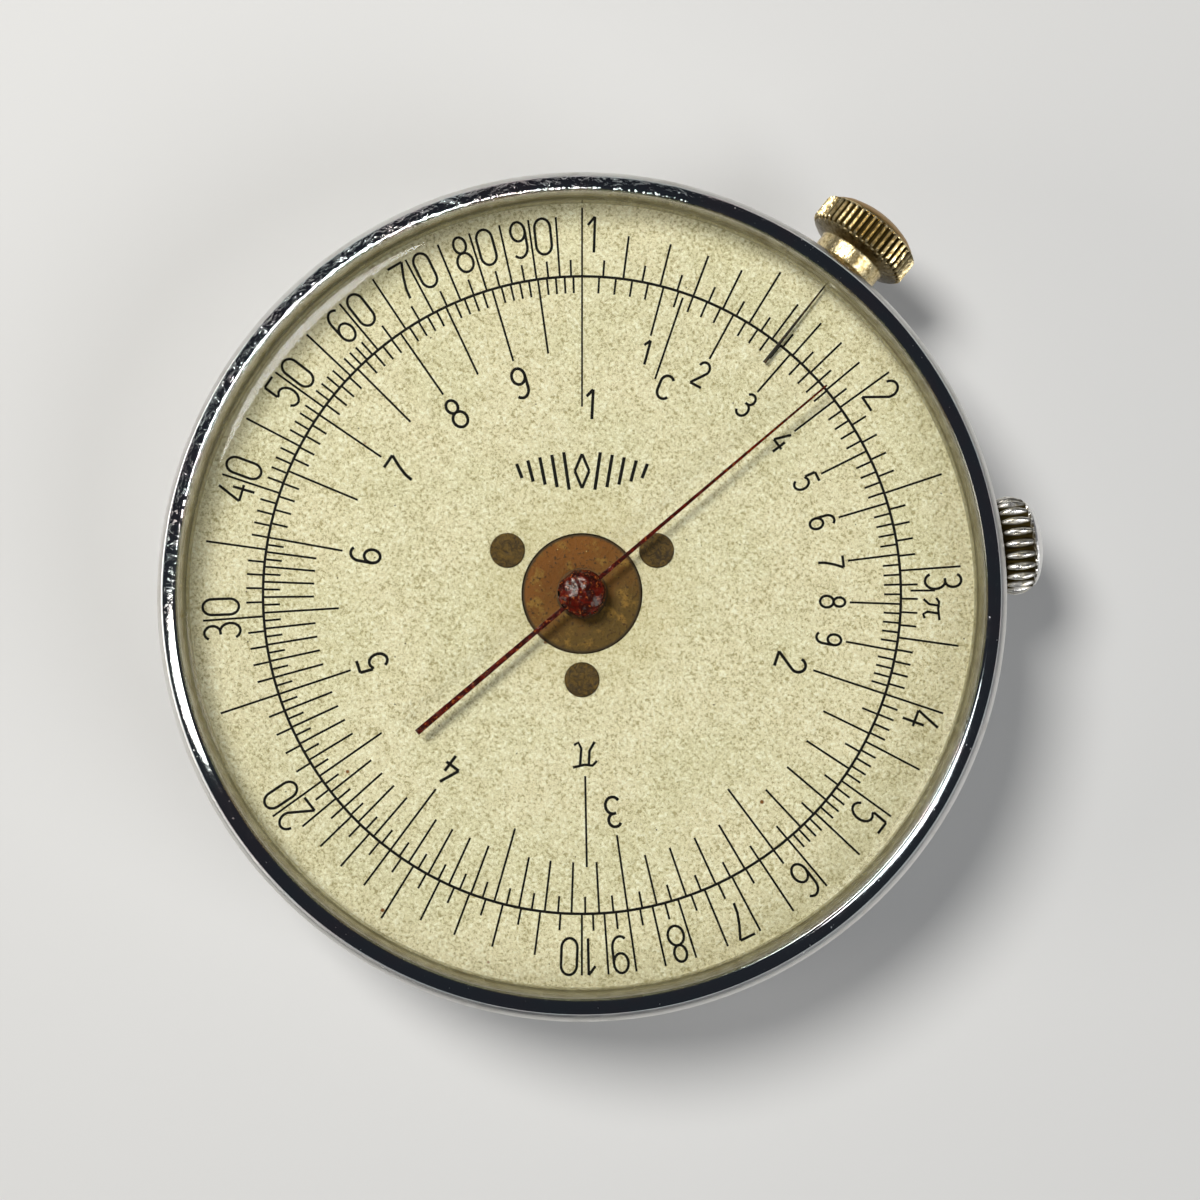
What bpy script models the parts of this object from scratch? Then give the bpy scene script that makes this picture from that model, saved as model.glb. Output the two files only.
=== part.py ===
"""Pocket circular slide rule in a watch case.

A turning front dial, driven by the crown at 12 o'clock, and a red hand on each face on one common
arbor, driven by the second crown. Each crown carries a pinion that meshes with a contrate wheel. All
sizes below are in millimetres and heights are measured from the case's middle plane; the finished
parts stand in metres on the flat face of the rear crystal, with the front dial facing +Z and the
dial's crown at +Y.
"""
import math

import bmesh
import bpy
from mathutils import Matrix, Vector

MM = 0.001

# Clearances
SEAT_GAP = 0.05          # between faces that rest on each other
RUN_GAP = 0.08           # round a shaft, on the radius
MESH_GAP = 0.30          # between a moving piece and a wall that it passes

# Case
CASE_RADIUS = 25.0
BAND_HALF_HEIGHT = 3.45
BAND_CHAMFER = 0.30
BEZEL_STEP = 0.80        # how far the bezel stands in from the band
BEZEL_WALL = 0.30
NECK_HEIGHT = 1.20       # neck above the band, inside the bezel
NECK_WALL = 0.75
GASKET_THICKNESS = 0.25
CRYSTAL_WALL = 0.50
CRYSTAL_FOOT = 0.40
CRYSTAL_TOP = 0.90
CRYSTAL_RISE = 1.40      # crystal above the bezel
CRYSTAL_SHOULDER = 1.60  # width of the rounded shoulder, outside the flat
BEZEL_LIP = 0.55
BEZEL_LIP_WIDTH = 0.65   # how far the lip reaches in over the crystal's foot
BEZEL_EDGE = 0.08        # break on the lip's inner edge
BEZEL_SLOPE = 0.50       # fall of the slope across the bezel
BEZEL_FLAT = 0.20        # width of the flat on top of the lip
LEDGE_WIDTH = 2.00
PLATE_SEAT_STEP = 0.60   # plate bore in from the dial's bore
CUT_PAST = 1.00          # how far a cutter runs past the face that it opens

# Main plate and centre
PLATE_HALF_THICKNESS = 1.10
TUBE_RADIUS = 1.30
TUBE_FLANGE_STEP = 0.15
TUBE_FLANGE = 0.25
ARBOR_RADIUS = 0.70
SPIGOT_RADIUS = 0.45
BUSH_FLANGE_RADIUS = 2.00
BUSH_FLANGE = 0.20
NUT_RADIUS = 2.20
NUT_THICKNESS = 0.60
WASHER_THICKNESS = 0.12

# Dials
DIAL_GAP = 0.20
DIAL_THICKNESS = 0.40
DIAL_BELOW_NECK = 0.45
BOSS_RADIUS = 3.45
RIVET_CIRCLE = 5.02
RIVET_HEAD_RADIUS = 1.02
RIVET_HEAD = 0.12
RIVET_SHANK_RADIUS = 0.45
RIVET_TAIL_RADIUS = 0.67
RIVET_TAIL = 0.25
RIVET_COUNT = 3
REST_DIAL_TURN = math.radians(38.3)     # the dial's unit line, anticlockwise from 12 o'clock

# Gears
GEAR_MODULE = 0.60
PINION_TEETH = 6
DIAL_WHEEL_TEETH = 40
HAND_WHEEL_TEETH = 30
ADDENDUM = 0.45
DEDENDUM = 0.55
TOOTH_SHARE = 0.38       # tooth thickness at the pitch line, as a share of the pitch
PRESSURE_ANGLE = math.radians(20.0)
PINION_LENGTH = 1.60
WHEEL_WEB = 0.55
HUB_RADIUS = 2.40
HAND_WHEEL_HUB_RADIUS = 1.80
WEB_ABOVE_TEETH = 0.15

# Crowns and stems
DIAL_KNOB_DIRECTION = 90.0              # degrees from +X, seen from the front
HAND_KNOB_DIRECTION = 45.0
STEM_RADIUS = 0.60
STEM_TUBE_RADIUS = 1.05
TUBE_SHORT_OF_CROWN = 0.15
CROWN_FLAT_DEPTH = 0.20  # the flat milled on the band under each crown
FLAT_MARGIN = 0.10       # flat beyond the crown, on the radius
SEAL_THICKNESS = 0.40
PIVOT_LENGTH = 1.30
STEM_SHORT_OF_DOME = 0.20
DIAL_CROWN_STAND = 0.45  # from the flat to the crown's neck
DIAL_CROWN_RADIUS = 3.30
DIAL_CROWN_RIDGES = 46
DIAL_CROWN_NECK_RADIUS = 2.15
DIAL_CROWN_NECK = 1.40
DIAL_CROWN_GRIP = 1.70
DIAL_CROWN_DOME = 0.95
DIAL_CROWN_BREAK = 0.30  # bevel at the foot of the grip
HAND_CROWN_STAND = 0.15
HAND_CROWN_RADIUS = 3.00
HAND_CROWN_FLUTES = 24
HAND_CROWN_GRIP = 2.00
HAND_CROWN_DOME = 0.90
HAND_CROWN_BREAK = 0.55
KNURL_DEPTH = 0.16
FLUTE_DEPTH = 0.26

# Hands and index
HAND_TIP = 18.60
HAND_TAIL = 12.45
HAND_TIP_WIDTH = 0.14
HAND_TAIL_WIDTH = 0.34
HAND_THICKNESS = 0.15
HAND_ABOVE_DIAL = 1.00
HAND_BOSS_RADIUS = 1.10
HAND_BOSS_STEP = 0.05     # boss beyond the needle, on each side
HAND_HUB_RADIUS = 1.40
HAND_HUB_HEIGHT = 0.55
HAND_HUB_HOLE = 0.30
HAND_HUB_EDGE = 0.12
REST_HAND_TURN = math.radians(-11.4)    # clockwise from 12 o'clock
INDEX_INNER_END = 17.15
INDEX_OUTER_WIDTH = 0.12
INDEX_INNER_WIDTH = 0.26
INDEX_THICKNESS = 0.12
INDEX_SLOT_WIDTH = 0.60

# Screws
SCREW_HEAD_RADIUS = 0.80
SCREW_HEAD = 0.35
SCREW_SHANK_RADIUS = 0.40
SCREW_LENGTH = 1.00
SCREW_SLOT = 0.22
PLATE_SCREW_TURNS = (30.0, 150.0, 270.0)
REAR_SCREW_TURNS = (90.0, 210.0, 330.0)
DIAL_SCREW_HEAD_RADIUS = 0.65
DIAL_SCREW_HEAD = 0.22

# Facets round a turned piece
CASE_FACETS = 40
SMALL_FACETS = 18
TINY_FACETS = 12

# Worked out from the sizes above: case
band_top = BAND_HALF_HEIGHT
neck_top = band_top + NECK_HEIGHT
bezel_radius = CASE_RADIUS - BEZEL_STEP
bezel_bore = bezel_radius - BEZEL_WALL
neck_radius = bezel_bore - SEAT_GAP
neck_bore = neck_radius - NECK_WALL
plate_bore = neck_bore - PLATE_SEAT_STEP
ledge_bore = plate_bore - LEDGE_WIDTH
foot_radius = neck_radius
lip_radius = bezel_bore - BEZEL_LIP_WIDTH
wall_radius = lip_radius - SEAT_GAP
wall_bore = wall_radius - CRYSTAL_WALL
gasket_bottom = neck_top + SEAT_GAP
foot_bottom = gasket_bottom + GASKET_THICKNESS + SEAT_GAP
foot_top = foot_bottom + CRYSTAL_FOOT
lip_bottom = foot_top + SEAT_GAP
lip_top = lip_bottom + BEZEL_LIP
crystal_top = lip_top + CRYSTAL_RISE
flat_radius = wall_radius - CRYSTAL_SHOULDER
screw_circle = ledge_bore + LEDGE_WIDTH / 2
screw_hole = SCREW_SHANK_RADIUS + SEAT_GAP
index_bottom = neck_top - SEAT_GAP - INDEX_THICKNESS

# Dials and hands
dial_radius = neck_bore - DIAL_GAP
dial_face = neck_top - DIAL_BELOW_NECK
dial_back = dial_face - DIAL_THICKNESS
boss_hole = BOSS_RADIUS + RUN_GAP
shoulder_radius = RIVET_CIRCLE + RIVET_HEAD_RADIUS + MESH_GAP
ledge_rear = -(dial_back - SEAT_GAP)
bush_end = dial_face + SEAT_GAP + BUSH_FLANGE
hand_bottom = dial_face + HAND_ABOVE_DIAL
hand_top = hand_bottom + HAND_THICKNESS
hand_boss_bottom = hand_bottom - HAND_BOSS_STEP
hand_boss_top = hand_top + HAND_BOSS_STEP
hub_bottom = hand_boss_top + SEAT_GAP
hub_top = hub_bottom + HAND_HUB_HEIGHT
hub_hole_end = hub_bottom + HAND_HUB_HOLE
hub_bore = SPIGOT_RADIUS + SEAT_GAP

# Gears
pinion_pitch = GEAR_MODULE * PINION_TEETH / 2
tooth_pitch = math.pi * GEAR_MODULE
pinion_tip = pinion_pitch + ADDENDUM
pinion_root = pinion_pitch - DEDENDUM
wheel_tooth_tip = pinion_pitch - ADDENDUM
wheel_tooth_root = pinion_pitch + DEDENDUM
dial_wheel_pitch = GEAR_MODULE * DIAL_WHEEL_TEETH / 2
hand_wheel_pitch = GEAR_MODULE * HAND_WHEEL_TEETH / 2
wheel_face = PINION_LENGTH + 2 * SEAT_GAP
web_bottom = wheel_tooth_root + WEB_ABOVE_TEETH
web_top = web_bottom + WHEEL_WEB

# Centre
plate_radius = plate_bore - SEAT_GAP
plate_seat = -PLATE_HALF_THICKNESS - SEAT_GAP
tube_bore = ARBOR_RADIUS + RUN_GAP
tube_flange_radius = TUBE_RADIUS + TUBE_FLANGE_STEP
boss_top = dial_face - SEAT_GAP
flange_bottom = boss_top + SEAT_GAP
flange_top = flange_bottom + TUBE_FLANGE
nut_top = -PLATE_HALF_THICKNESS - SEAT_GAP
nut_bottom = nut_top - NUT_THICKNESS
tube_end = nut_bottom - SEAT_GAP
hand_hub_top = tube_end - 2 * SEAT_GAP - WASHER_THICKNESS

# Stems and crowns, as distances from the middle of the case
band_flat = CASE_RADIUS - CROWN_FLAT_DEPTH
stem_bore = STEM_RADIUS + RUN_GAP
dial_crown_base = band_flat + DIAL_CROWN_STAND
hand_crown_base = band_flat + HAND_CROWN_STAND
dial_grip_bottom = dial_crown_base + DIAL_CROWN_NECK
dial_grip_top = dial_grip_bottom + DIAL_CROWN_GRIP
hand_grip_top = hand_crown_base + HAND_CROWN_GRIP

scene = bpy.context.scene


def clear_scene():
    for item in list(bpy.data.objects):
        bpy.data.objects.remove(item, do_unlink=True)


def make_material(name, colour, roughness, metallic, alpha=1.0):
    material = bpy.data.materials.new(name)
    material.use_nodes = True
    shader = material.node_tree.nodes["Principled BSDF"]
    shader.inputs["Base Color"].default_value = (*colour, 1.0)
    shader.inputs["Roughness"].default_value = roughness
    shader.inputs["Metallic"].default_value = metallic
    shader.inputs["Alpha"].default_value = alpha
    return material


def make_axis(name, direction_degrees=None):
    """An empty at the middle of the case; with a direction, its own Z points out along it."""
    axis = bpy.data.objects.new(name, None)
    scene.collection.objects.link(axis)
    turn = Matrix.Identity(4)
    if direction_degrees is not None:
        angle = math.radians(direction_degrees)
        outward = Vector((math.cos(angle), math.sin(angle), 0.0))
        across = Vector((-math.sin(angle), math.cos(angle), 0.0))
        turn = Matrix((across, outward.cross(across), outward)).transposed().to_4x4()
    axis.matrix_world = Matrix.Translation((0, 0, crystal_top * MM)) @ turn
    return axis


def finish(name, mesh_builder, material, axis, smooth_angle=35.0):
    """Turn a bmesh into a named piece that hangs on an axis."""
    bmesh.ops.recalc_face_normals(mesh_builder, faces=mesh_builder.faces)
    mesh = bpy.data.meshes.new(name)
    mesh_builder.to_mesh(mesh)
    mesh_builder.free()
    mesh.shade_smooth()
    mesh.set_sharp_from_angle(angle=math.radians(smooth_angle))
    piece = bpy.data.objects.new(name, mesh)
    scene.collection.objects.link(piece)
    if material is not None:
        mesh.materials.append(material)
    piece.parent = axis
    return piece


def turned_mesh(profile, facets, ridge_depth=0.0):
    """Spin (radius, height) points about Z, with facets, not corners, on the axes. Radius 0 is a
    pole; a third value of 1 marks a knurled ring, whose every second point is sunk."""
    mesh_builder = bmesh.new()
    rings = []
    for radius, height, *knurled in profile:
        if radius == 0.0:
            rings.append([mesh_builder.verts.new((0, 0, height * MM))])
            continue
        ring = []
        for step in range(facets):
            angle = 2 * math.pi * (step + 0.5) / facets
            sunk = ridge_depth if knurled and step % 2 else 0.0
            reach = (radius - sunk) * MM
            ring.append(mesh_builder.verts.new((reach * math.cos(angle), reach * math.sin(angle),
                                                height * MM)))
        rings.append(ring)
    pairs = list(zip(rings, rings[1:]))
    if len(rings[0]) > 1:
        pairs.append((rings[-1], rings[0]))
    for first, second in pairs:
        for step in range(facets):
            following = (step + 1) % facets
            corners = [first[0]] if len(first) == 1 else [first[following], first[step]]
            corners += [second[0]] if len(second) == 1 else [second[step], second[following]]
            mesh_builder.faces.new(corners)
    return mesh_builder


def turned(name, profile, facets, material, axis, ridge_depth=0.0):
    return finish(name, turned_mesh(profile, facets, ridge_depth), material, axis)


def tube_profile(bore, radius, bottom, top):
    return [(bore, bottom), (radius, bottom), (radius, top), (bore, top)]


def rod_profile(radius, bottom, top):
    return [(0.0, bottom), (radius, bottom), (radius, top), (0.0, top)]


def mirrored(profile):
    return [(point[0], -point[1], *point[2:]) for point in profile]


def prism_mesh(outline, bottom, top):
    """A flat outline of (x, y) points, extruded from bottom to top."""
    mesh_builder = bmesh.new()
    lower = [mesh_builder.verts.new((x * MM, y * MM, bottom * MM)) for x, y in outline]
    upper = [mesh_builder.verts.new((x * MM, y * MM, top * MM)) for x, y in outline]
    mesh_builder.faces.new(lower)
    mesh_builder.faces.new(upper)
    for step in range(len(outline)):
        following = (step + 1) % len(outline)
        mesh_builder.faces.new((lower[step], lower[following], upper[following], upper[step]))
    return mesh_builder


def rotate_mesh(mesh_builder, angle):
    bmesh.ops.rotate(mesh_builder, verts=mesh_builder.verts, cent=(0, 0, 0),
                     matrix=Matrix.Rotation(angle, 3, "Z"))


def place_mesh(mesh_builder, circle_radius, degrees):
    """Move a mesh out to a circle, keeping its facets turned with it."""
    bmesh.ops.translate(mesh_builder, verts=mesh_builder.verts, vec=(circle_radius * MM, 0, 0))
    rotate_mesh(mesh_builder, math.radians(degrees))


def helper(name, mesh_builder, axis):
    """A cutter or an added block: seen as a wire, and not a part of the model."""
    tool = finish(name, mesh_builder, None, axis)
    tool.hide_render = True
    tool.display_type = "WIRE"
    return tool


def combine(piece, tool, operation="DIFFERENCE"):
    modifier = piece.modifiers.new(tool.name, "BOOLEAN")
    modifier.operation = operation
    modifier.object = tool


def strip_outline(inner_width, outer_width, inner_end, outer_end):
    """A strip that runs in towards the centre from 12 o'clock."""
    return [(-inner_width / 2, inner_end), (inner_width / 2, inner_end),
            (outer_width / 2, outer_end), (-outer_width / 2, outer_end)]


def drill(piece, axis, radius, bottom, top, circle_radius, degrees):
    """A hole along Z through a piece, on a circle about the axis."""
    hole = turned_mesh(rod_profile(radius, bottom, top), TINY_FACETS)
    place_mesh(hole, circle_radius, degrees)
    combine(piece, helper(piece.name + "_drill", hole, axis))


def rivet_turn(number):
    """Rivet places on the dial, in degrees: one opposite the unit line, the others evenly round."""
    return 270.0 + math.degrees(REST_DIAL_TURN) + number * 360.0 / RIVET_COUNT


def make_mid_case(material, centre, knob_axes):
    chamfer = BAND_CHAMFER
    outside = [(neck_bore, neck_top), (neck_radius, neck_top), (neck_radius, band_top),
               (CASE_RADIUS - chamfer, band_top), (CASE_RADIUS, band_top - chamfer),
               (CASE_RADIUS, chamfer - band_top), (CASE_RADIUS - chamfer, -band_top),
               (neck_radius, -band_top), (neck_radius, -neck_top), (neck_bore, -neck_top)]
    inside = [(neck_bore, ledge_rear), (ledge_bore, ledge_rear), (ledge_bore, plate_seat),
              (plate_bore, plate_seat), (plate_bore, dial_back - MESH_GAP),
              (neck_bore, dial_back - MESH_GAP)]
    mid_case = turned("mid_case", outside + inside, CASE_FACETS, material, centre)
    for label, axis, crown_radius in knob_axes:
        bore = STEM_TUBE_RADIUS + SEAT_GAP
        flat = crown_radius + FLAT_MARGIN
        profile = [(0.0, ledge_bore), (bore, ledge_bore), (bore, band_flat), (flat, band_flat),
                   (flat, CASE_RADIUS + CUT_PAST), (0.0, CASE_RADIUS + CUT_PAST)]
        tool = turned_mesh(profile, SMALL_FACETS)
        combine(mid_case, helper(label + "_seat_cutter", tool, axis))
    slot = prism_mesh(strip_outline(INDEX_SLOT_WIDTH, INDEX_SLOT_WIDTH, neck_bore - CUT_PAST,
                                    neck_radius + CUT_PAST),
                      index_bottom - SEAT_GAP, neck_top + CUT_PAST)
    combine(mid_case, helper("index_slot_cutter", slot, centre))
    depth = SCREW_LENGTH + SEAT_GAP
    for turn in PLATE_SCREW_TURNS:
        drill(mid_case, centre, screw_hole, plate_seat - depth, plate_seat + CUT_PAST,
              screw_circle, turn)
    for turn in REAR_SCREW_TURNS:
        drill(mid_case, centre, screw_hole, ledge_rear - CUT_PAST, ledge_rear + depth,
              screw_circle, turn)


def make_crystal(name, material, axis, mirror):
    shoulder = CRYSTAL_SHOULDER
    rise = crystal_top - lip_top
    under = crystal_top - CRYSTAL_TOP
    profile = [(0.0, crystal_top), (flat_radius, crystal_top),
               (flat_radius + shoulder * 0.55, crystal_top - rise * 0.10),
               (wall_radius - shoulder * 0.12, crystal_top - rise * 0.42),
               (wall_radius, crystal_top - rise * 0.95), (wall_radius, foot_top),
               (foot_radius, foot_top), (foot_radius, foot_bottom), (wall_bore, foot_bottom),
               (wall_bore, lip_top), (flat_radius + shoulder * 0.25, under), (0.0, under)]
    turned(name, mirrored(profile) if mirror else profile, CASE_FACETS, material, axis)


def make_bezel(name, material, axis, mirror):
    bottom = band_top + SEAT_GAP
    profile = [(bezel_bore, bottom), (bezel_radius, bottom),
               (bezel_radius, lip_top - BEZEL_SLOPE),
               (lip_radius + BEZEL_FLAT, lip_top), (lip_radius, lip_top - BEZEL_EDGE),
               (lip_radius, lip_bottom), (bezel_bore, lip_bottom)]
    turned(name, mirrored(profile) if mirror else profile, CASE_FACETS, material, axis)


def make_main_plate(material, centre, knob_axes):
    plate = turned("main_plate",
                   tube_profile(TUBE_RADIUS + SEAT_GAP, plate_radius, -PLATE_HALF_THICKNESS,
                                PLATE_HALF_THICKNESS), CASE_FACETS, material, centre)
    half_width = pinion_tip + MESH_GAP
    for label, axis, pitch_radius in knob_axes:
        inner = pitch_radius - PINION_LENGTH / 2 - MESH_GAP
        outer = pitch_radius + PINION_LENGTH / 2 + MESH_GAP
        outline = [(-half_width, -half_width), (half_width, -half_width), (half_width, half_width),
                   (-half_width, half_width)]
        window = prism_mesh(outline, inner, outer)
        combine(plate, helper(label + "_window_cutter", window, axis))
        bore = turned_mesh(rod_profile(stem_bore, inner - PIVOT_LENGTH - MESH_GAP,
                                       plate_radius + CUT_PAST), TINY_FACETS)
        combine(plate, helper(label + "_stem_cutter", bore, axis))
    for turn in PLATE_SCREW_TURNS:
        drill(plate, centre, screw_hole, -PLATE_HALF_THICKNESS - CUT_PAST,
              PLATE_HALF_THICKNESS + CUT_PAST, screw_circle, turn)


def make_screw(name, material, axis, turn, head_radius, head, under_head, length, facing):
    """A slotted screw. facing is 1 with its head to the front and -1 with its head to the rear."""
    profile = [(0.0, under_head - facing * length),
               (SCREW_SHANK_RADIUS, under_head - facing * length),
               (SCREW_SHANK_RADIUS, under_head), (head_radius, under_head),
               (head_radius, under_head + facing * head), (0.0, under_head + facing * head)]
    body = turned_mesh(profile, TINY_FACETS)
    place_mesh(body, screw_circle, turn)
    screw = finish(name, body, material, axis)
    half = SCREW_SLOT / 2
    outline = [(-2 * head_radius, -half), (2 * head_radius, -half), (2 * head_radius, half),
               (-2 * head_radius, half)]
    slot_floor = under_head + facing * head * 0.5
    slot_top = under_head + facing * (head + CUT_PAST)
    slot = prism_mesh(outline, min(slot_floor, slot_top), max(slot_floor, slot_top))
    place_mesh(slot, screw_circle, turn)
    combine(screw, helper(name + "_slot_cutter", slot, axis))


def rack_offsets():
    """Half widths of a wheel tooth at its tip and its root."""
    half = TOOTH_SHARE * tooth_pitch / 2
    slope = math.tan(PRESSURE_ANGLE)
    return half - ADDENDUM * slope, half + DEDENDUM * slope


def contrate_mesh(teeth, pitch_radius, first_space, profile):
    """A wheel with its teeth pointing down along Z. The profile runs from the top of the rim's outer
    wall in over the top, down the bore and back out to the inner wall of the rim; a space between two
    teeth lies at the angle first_space."""
    tip_half, root_half = rack_offsets()
    mesh_builder = bmesh.new()
    inner_wave = []
    outer_wave = []
    rings = [[] for point in profile]
    for tooth in range(teeth):
        middle = first_space + (tooth + 0.5) * 2 * math.pi / teeth
        for offset, height in ((-root_half, wheel_tooth_root), (-tip_half, wheel_tooth_tip),
                               (tip_half, wheel_tooth_tip), (root_half, wheel_tooth_root)):
            angle = middle + offset / pitch_radius
            for wave, radius in ((inner_wave, profile[-1][0]), (outer_wave, profile[0][0])):
                wave.append(mesh_builder.verts.new((radius * MM * math.cos(angle),
                                                    radius * MM * math.sin(angle), height * MM)))
        start = middle - root_half / pitch_radius
        for ring, (radius, height) in zip(rings, profile):
            ring.append(mesh_builder.verts.new((radius * MM * math.cos(start),
                                                radius * MM * math.sin(start), height * MM)))
    for first, second in zip(rings, rings[1:]):
        for step in range(teeth):
            following = (step + 1) % teeth
            mesh_builder.faces.new((first[following], first[step], second[step],
                                    second[following]))
    for wave, ring in ((inner_wave, rings[-1]), (outer_wave, rings[0])):
        for step in range(teeth):
            edge = [wave[(4 * step + corner) % len(wave)] for corner in range(5)]
            mesh_builder.faces.new(edge + [ring[(step + 1) % teeth], ring[step]])
    for step in range(len(inner_wave)):
        following = (step + 1) % len(inner_wave)
        mesh_builder.faces.new((inner_wave[step], outer_wave[step], outer_wave[following],
                                inner_wave[following]))
    return mesh_builder


def make_dial_wheel(material, axis):
    bore = TUBE_RADIUS + RUN_GAP
    hub_bottom = PLATE_HALF_THICKNESS + 2 * SEAT_GAP + WASHER_THICKNESS
    seat = dial_back - SEAT_GAP
    rim_inner = dial_wheel_pitch - wheel_face / 2
    rim_outer = dial_wheel_pitch + wheel_face / 2
    profile = [(rim_outer, web_top), (shoulder_radius, web_top), (shoulder_radius, seat),
               (BOSS_RADIUS, seat), (BOSS_RADIUS, boss_top), (bore, boss_top), (bore, hub_bottom),
               (HUB_RADIUS, hub_bottom), (HUB_RADIUS, web_bottom), (rim_inner, web_bottom)]
    rim = contrate_mesh(DIAL_WHEEL_TEETH, dial_wheel_pitch, math.radians(DIAL_KNOB_DIRECTION),
                        profile)
    wheel = finish("dial_wheel", rim, material, axis)
    for number in range(RIVET_COUNT):
        drill(wheel, axis, RIVET_SHANK_RADIUS + SEAT_GAP, web_bottom - CUT_PAST,
              dial_face + CUT_PAST, RIVET_CIRCLE, rivet_turn(number))


def make_hand_wheel(material, axis):
    """Turned over, so that its teeth point up at the middle plane."""
    bore = ARBOR_RADIUS + SEAT_GAP
    rim_inner = hand_wheel_pitch - wheel_face / 2
    rim_outer = hand_wheel_pitch + wheel_face / 2
    hub_end = dial_back - MESH_GAP / 2
    profile = [(rim_outer, web_top), (HAND_WHEEL_HUB_RADIUS, web_top),
               (HAND_WHEEL_HUB_RADIUS, hub_end), (bore, hub_end), (bore, -hand_hub_top),
               (HAND_WHEEL_HUB_RADIUS, -hand_hub_top), (HAND_WHEEL_HUB_RADIUS, web_bottom),
               (rim_inner, web_bottom)]
    rim = contrate_mesh(HAND_WHEEL_TEETH, hand_wheel_pitch, -math.radians(HAND_KNOB_DIRECTION),
                        profile)
    bmesh.ops.rotate(rim, verts=rim.verts, cent=(0, 0, 0), matrix=Matrix.Rotation(math.pi, 3, "X"))
    finish("hand_wheel", rim, material, axis)


def make_pinion(name, material, axis, pitch_radius, tooth_at):
    """A spur pinion on a stem, with one tooth at the angle tooth_at about the stem."""
    half = TOOTH_SHARE * tooth_pitch / 2
    corners = ((-half * 1.35 / pinion_root, pinion_root), (-half * 0.55 / pinion_tip, pinion_tip),
               (half * 0.55 / pinion_tip, pinion_tip), (half * 1.35 / pinion_root, pinion_root))
    bore = STEM_RADIUS + SEAT_GAP
    bottom = pitch_radius - PINION_LENGTH / 2
    top = pitch_radius + PINION_LENGTH / 2
    mesh_builder = bmesh.new()
    columns = []
    for tooth in range(PINION_TEETH):
        for offset, radius in corners:
            angle = tooth_at + tooth * 2 * math.pi / PINION_TEETH + offset
            column = []
            for reach, level in ((bore, bottom), (radius, bottom), (radius, top), (bore, top)):
                column.append(mesh_builder.verts.new((reach * MM * math.cos(angle),
                                                      reach * MM * math.sin(angle), level * MM)))
            columns.append(column)
    for step, column in enumerate(columns):
        following = columns[(step + 1) % len(columns)]
        for corner in range(4):
            beside = (corner + 1) % 4
            mesh_builder.faces.new((column[corner], column[beside], following[beside],
                                    following[corner]))
    finish(name, mesh_builder, material, axis)


def make_crown(name, profile, ridges, depth, base, grip_top, material, axis):
    """A crown with its knurl, and a stepped hole for the stem and its seal."""
    crown = turned(name, profile, ridges * 2, material, axis, depth)
    hole = STEM_RADIUS + SEAT_GAP
    seat = STEM_TUBE_RADIUS + SEAT_GAP
    seat_end = base + SEAL_THICKNESS + SEAT_GAP
    hole_end = grip_top - STEM_SHORT_OF_DOME + SEAT_GAP
    tool = turned_mesh([(0.0, base - CUT_PAST), (seat, base - CUT_PAST), (seat, seat_end),
                        (hole, seat_end), (hole, hole_end), (0.0, hole_end)], SMALL_FACETS)
    combine(crown, helper(name + "_hole_cutter", tool, axis))


def make_dial_crown(material, axis):
    """A flat knurled disc on a smooth neck, with a low dome."""
    radius = DIAL_CROWN_RADIUS
    foot = radius - DIAL_CROWN_BREAK
    profile = [(0.0, dial_crown_base), (DIAL_CROWN_NECK_RADIUS, dial_crown_base),
               (DIAL_CROWN_NECK_RADIUS, dial_grip_bottom), (foot, dial_grip_bottom),
               (radius, dial_grip_bottom + DIAL_CROWN_BREAK, 1),
               (radius, dial_grip_top - DIAL_CROWN_BREAK / 3, 1),
               (radius * 0.88, dial_grip_top + DIAL_CROWN_DOME * 0.25),
               (radius * 0.48, dial_grip_top + DIAL_CROWN_DOME * 0.85),
               (0.0, dial_grip_top + DIAL_CROWN_DOME)]
    make_crown("dial_crown", profile, DIAL_CROWN_RIDGES, KNURL_DEPTH, dial_crown_base,
               dial_grip_top, material, axis)


def make_hand_crown(material, axis):
    """A rounded, fluted button close to the band."""
    radius = HAND_CROWN_RADIUS
    profile = [(0.0, hand_crown_base), (radius - HAND_CROWN_BREAK, hand_crown_base),
               (radius - HAND_CROWN_BREAK / 5, hand_crown_base + HAND_CROWN_GRIP * 0.20, 1),
               (radius, hand_crown_base + HAND_CROWN_GRIP * 0.50, 1),
               (radius - HAND_CROWN_BREAK / 2, hand_grip_top, 1),
               (radius * 0.62, hand_grip_top + HAND_CROWN_DOME * 0.65),
               (0.0, hand_grip_top + HAND_CROWN_DOME)]
    make_crown("hand_crown", profile, HAND_CROWN_FLUTES, FLUTE_DEPTH, hand_crown_base,
               hand_grip_top, material, axis)


def make_knob(label, axis, pitch_radius, tooth_at, base, grip_top, materials):
    """Stem, pinion, seal and stem tube of one knob, along the knob's own axis."""
    pivot_end = pitch_radius - PINION_LENGTH / 2 - MESH_GAP - PIVOT_LENGTH
    turned(label + "_stem", rod_profile(STEM_RADIUS, pivot_end, grip_top - STEM_SHORT_OF_DOME),
           TINY_FACETS, materials["steel"], axis)
    make_pinion(label + "_pinion", materials["steel"], axis, pitch_radius, tooth_at)
    turned(label + "_crown_seal",
           tube_profile(STEM_RADIUS + SEAT_GAP, STEM_TUBE_RADIUS, base, base + SEAL_THICKNESS),
           SMALL_FACETS, materials["rubber"], axis)
    turned(label + "_stem_tube",
           tube_profile(stem_bore, STEM_TUBE_RADIUS, plate_bore + SEAT_GAP,
                        base - TUBE_SHORT_OF_CROWN),
           SMALL_FACETS, materials["brass"], axis)


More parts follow.
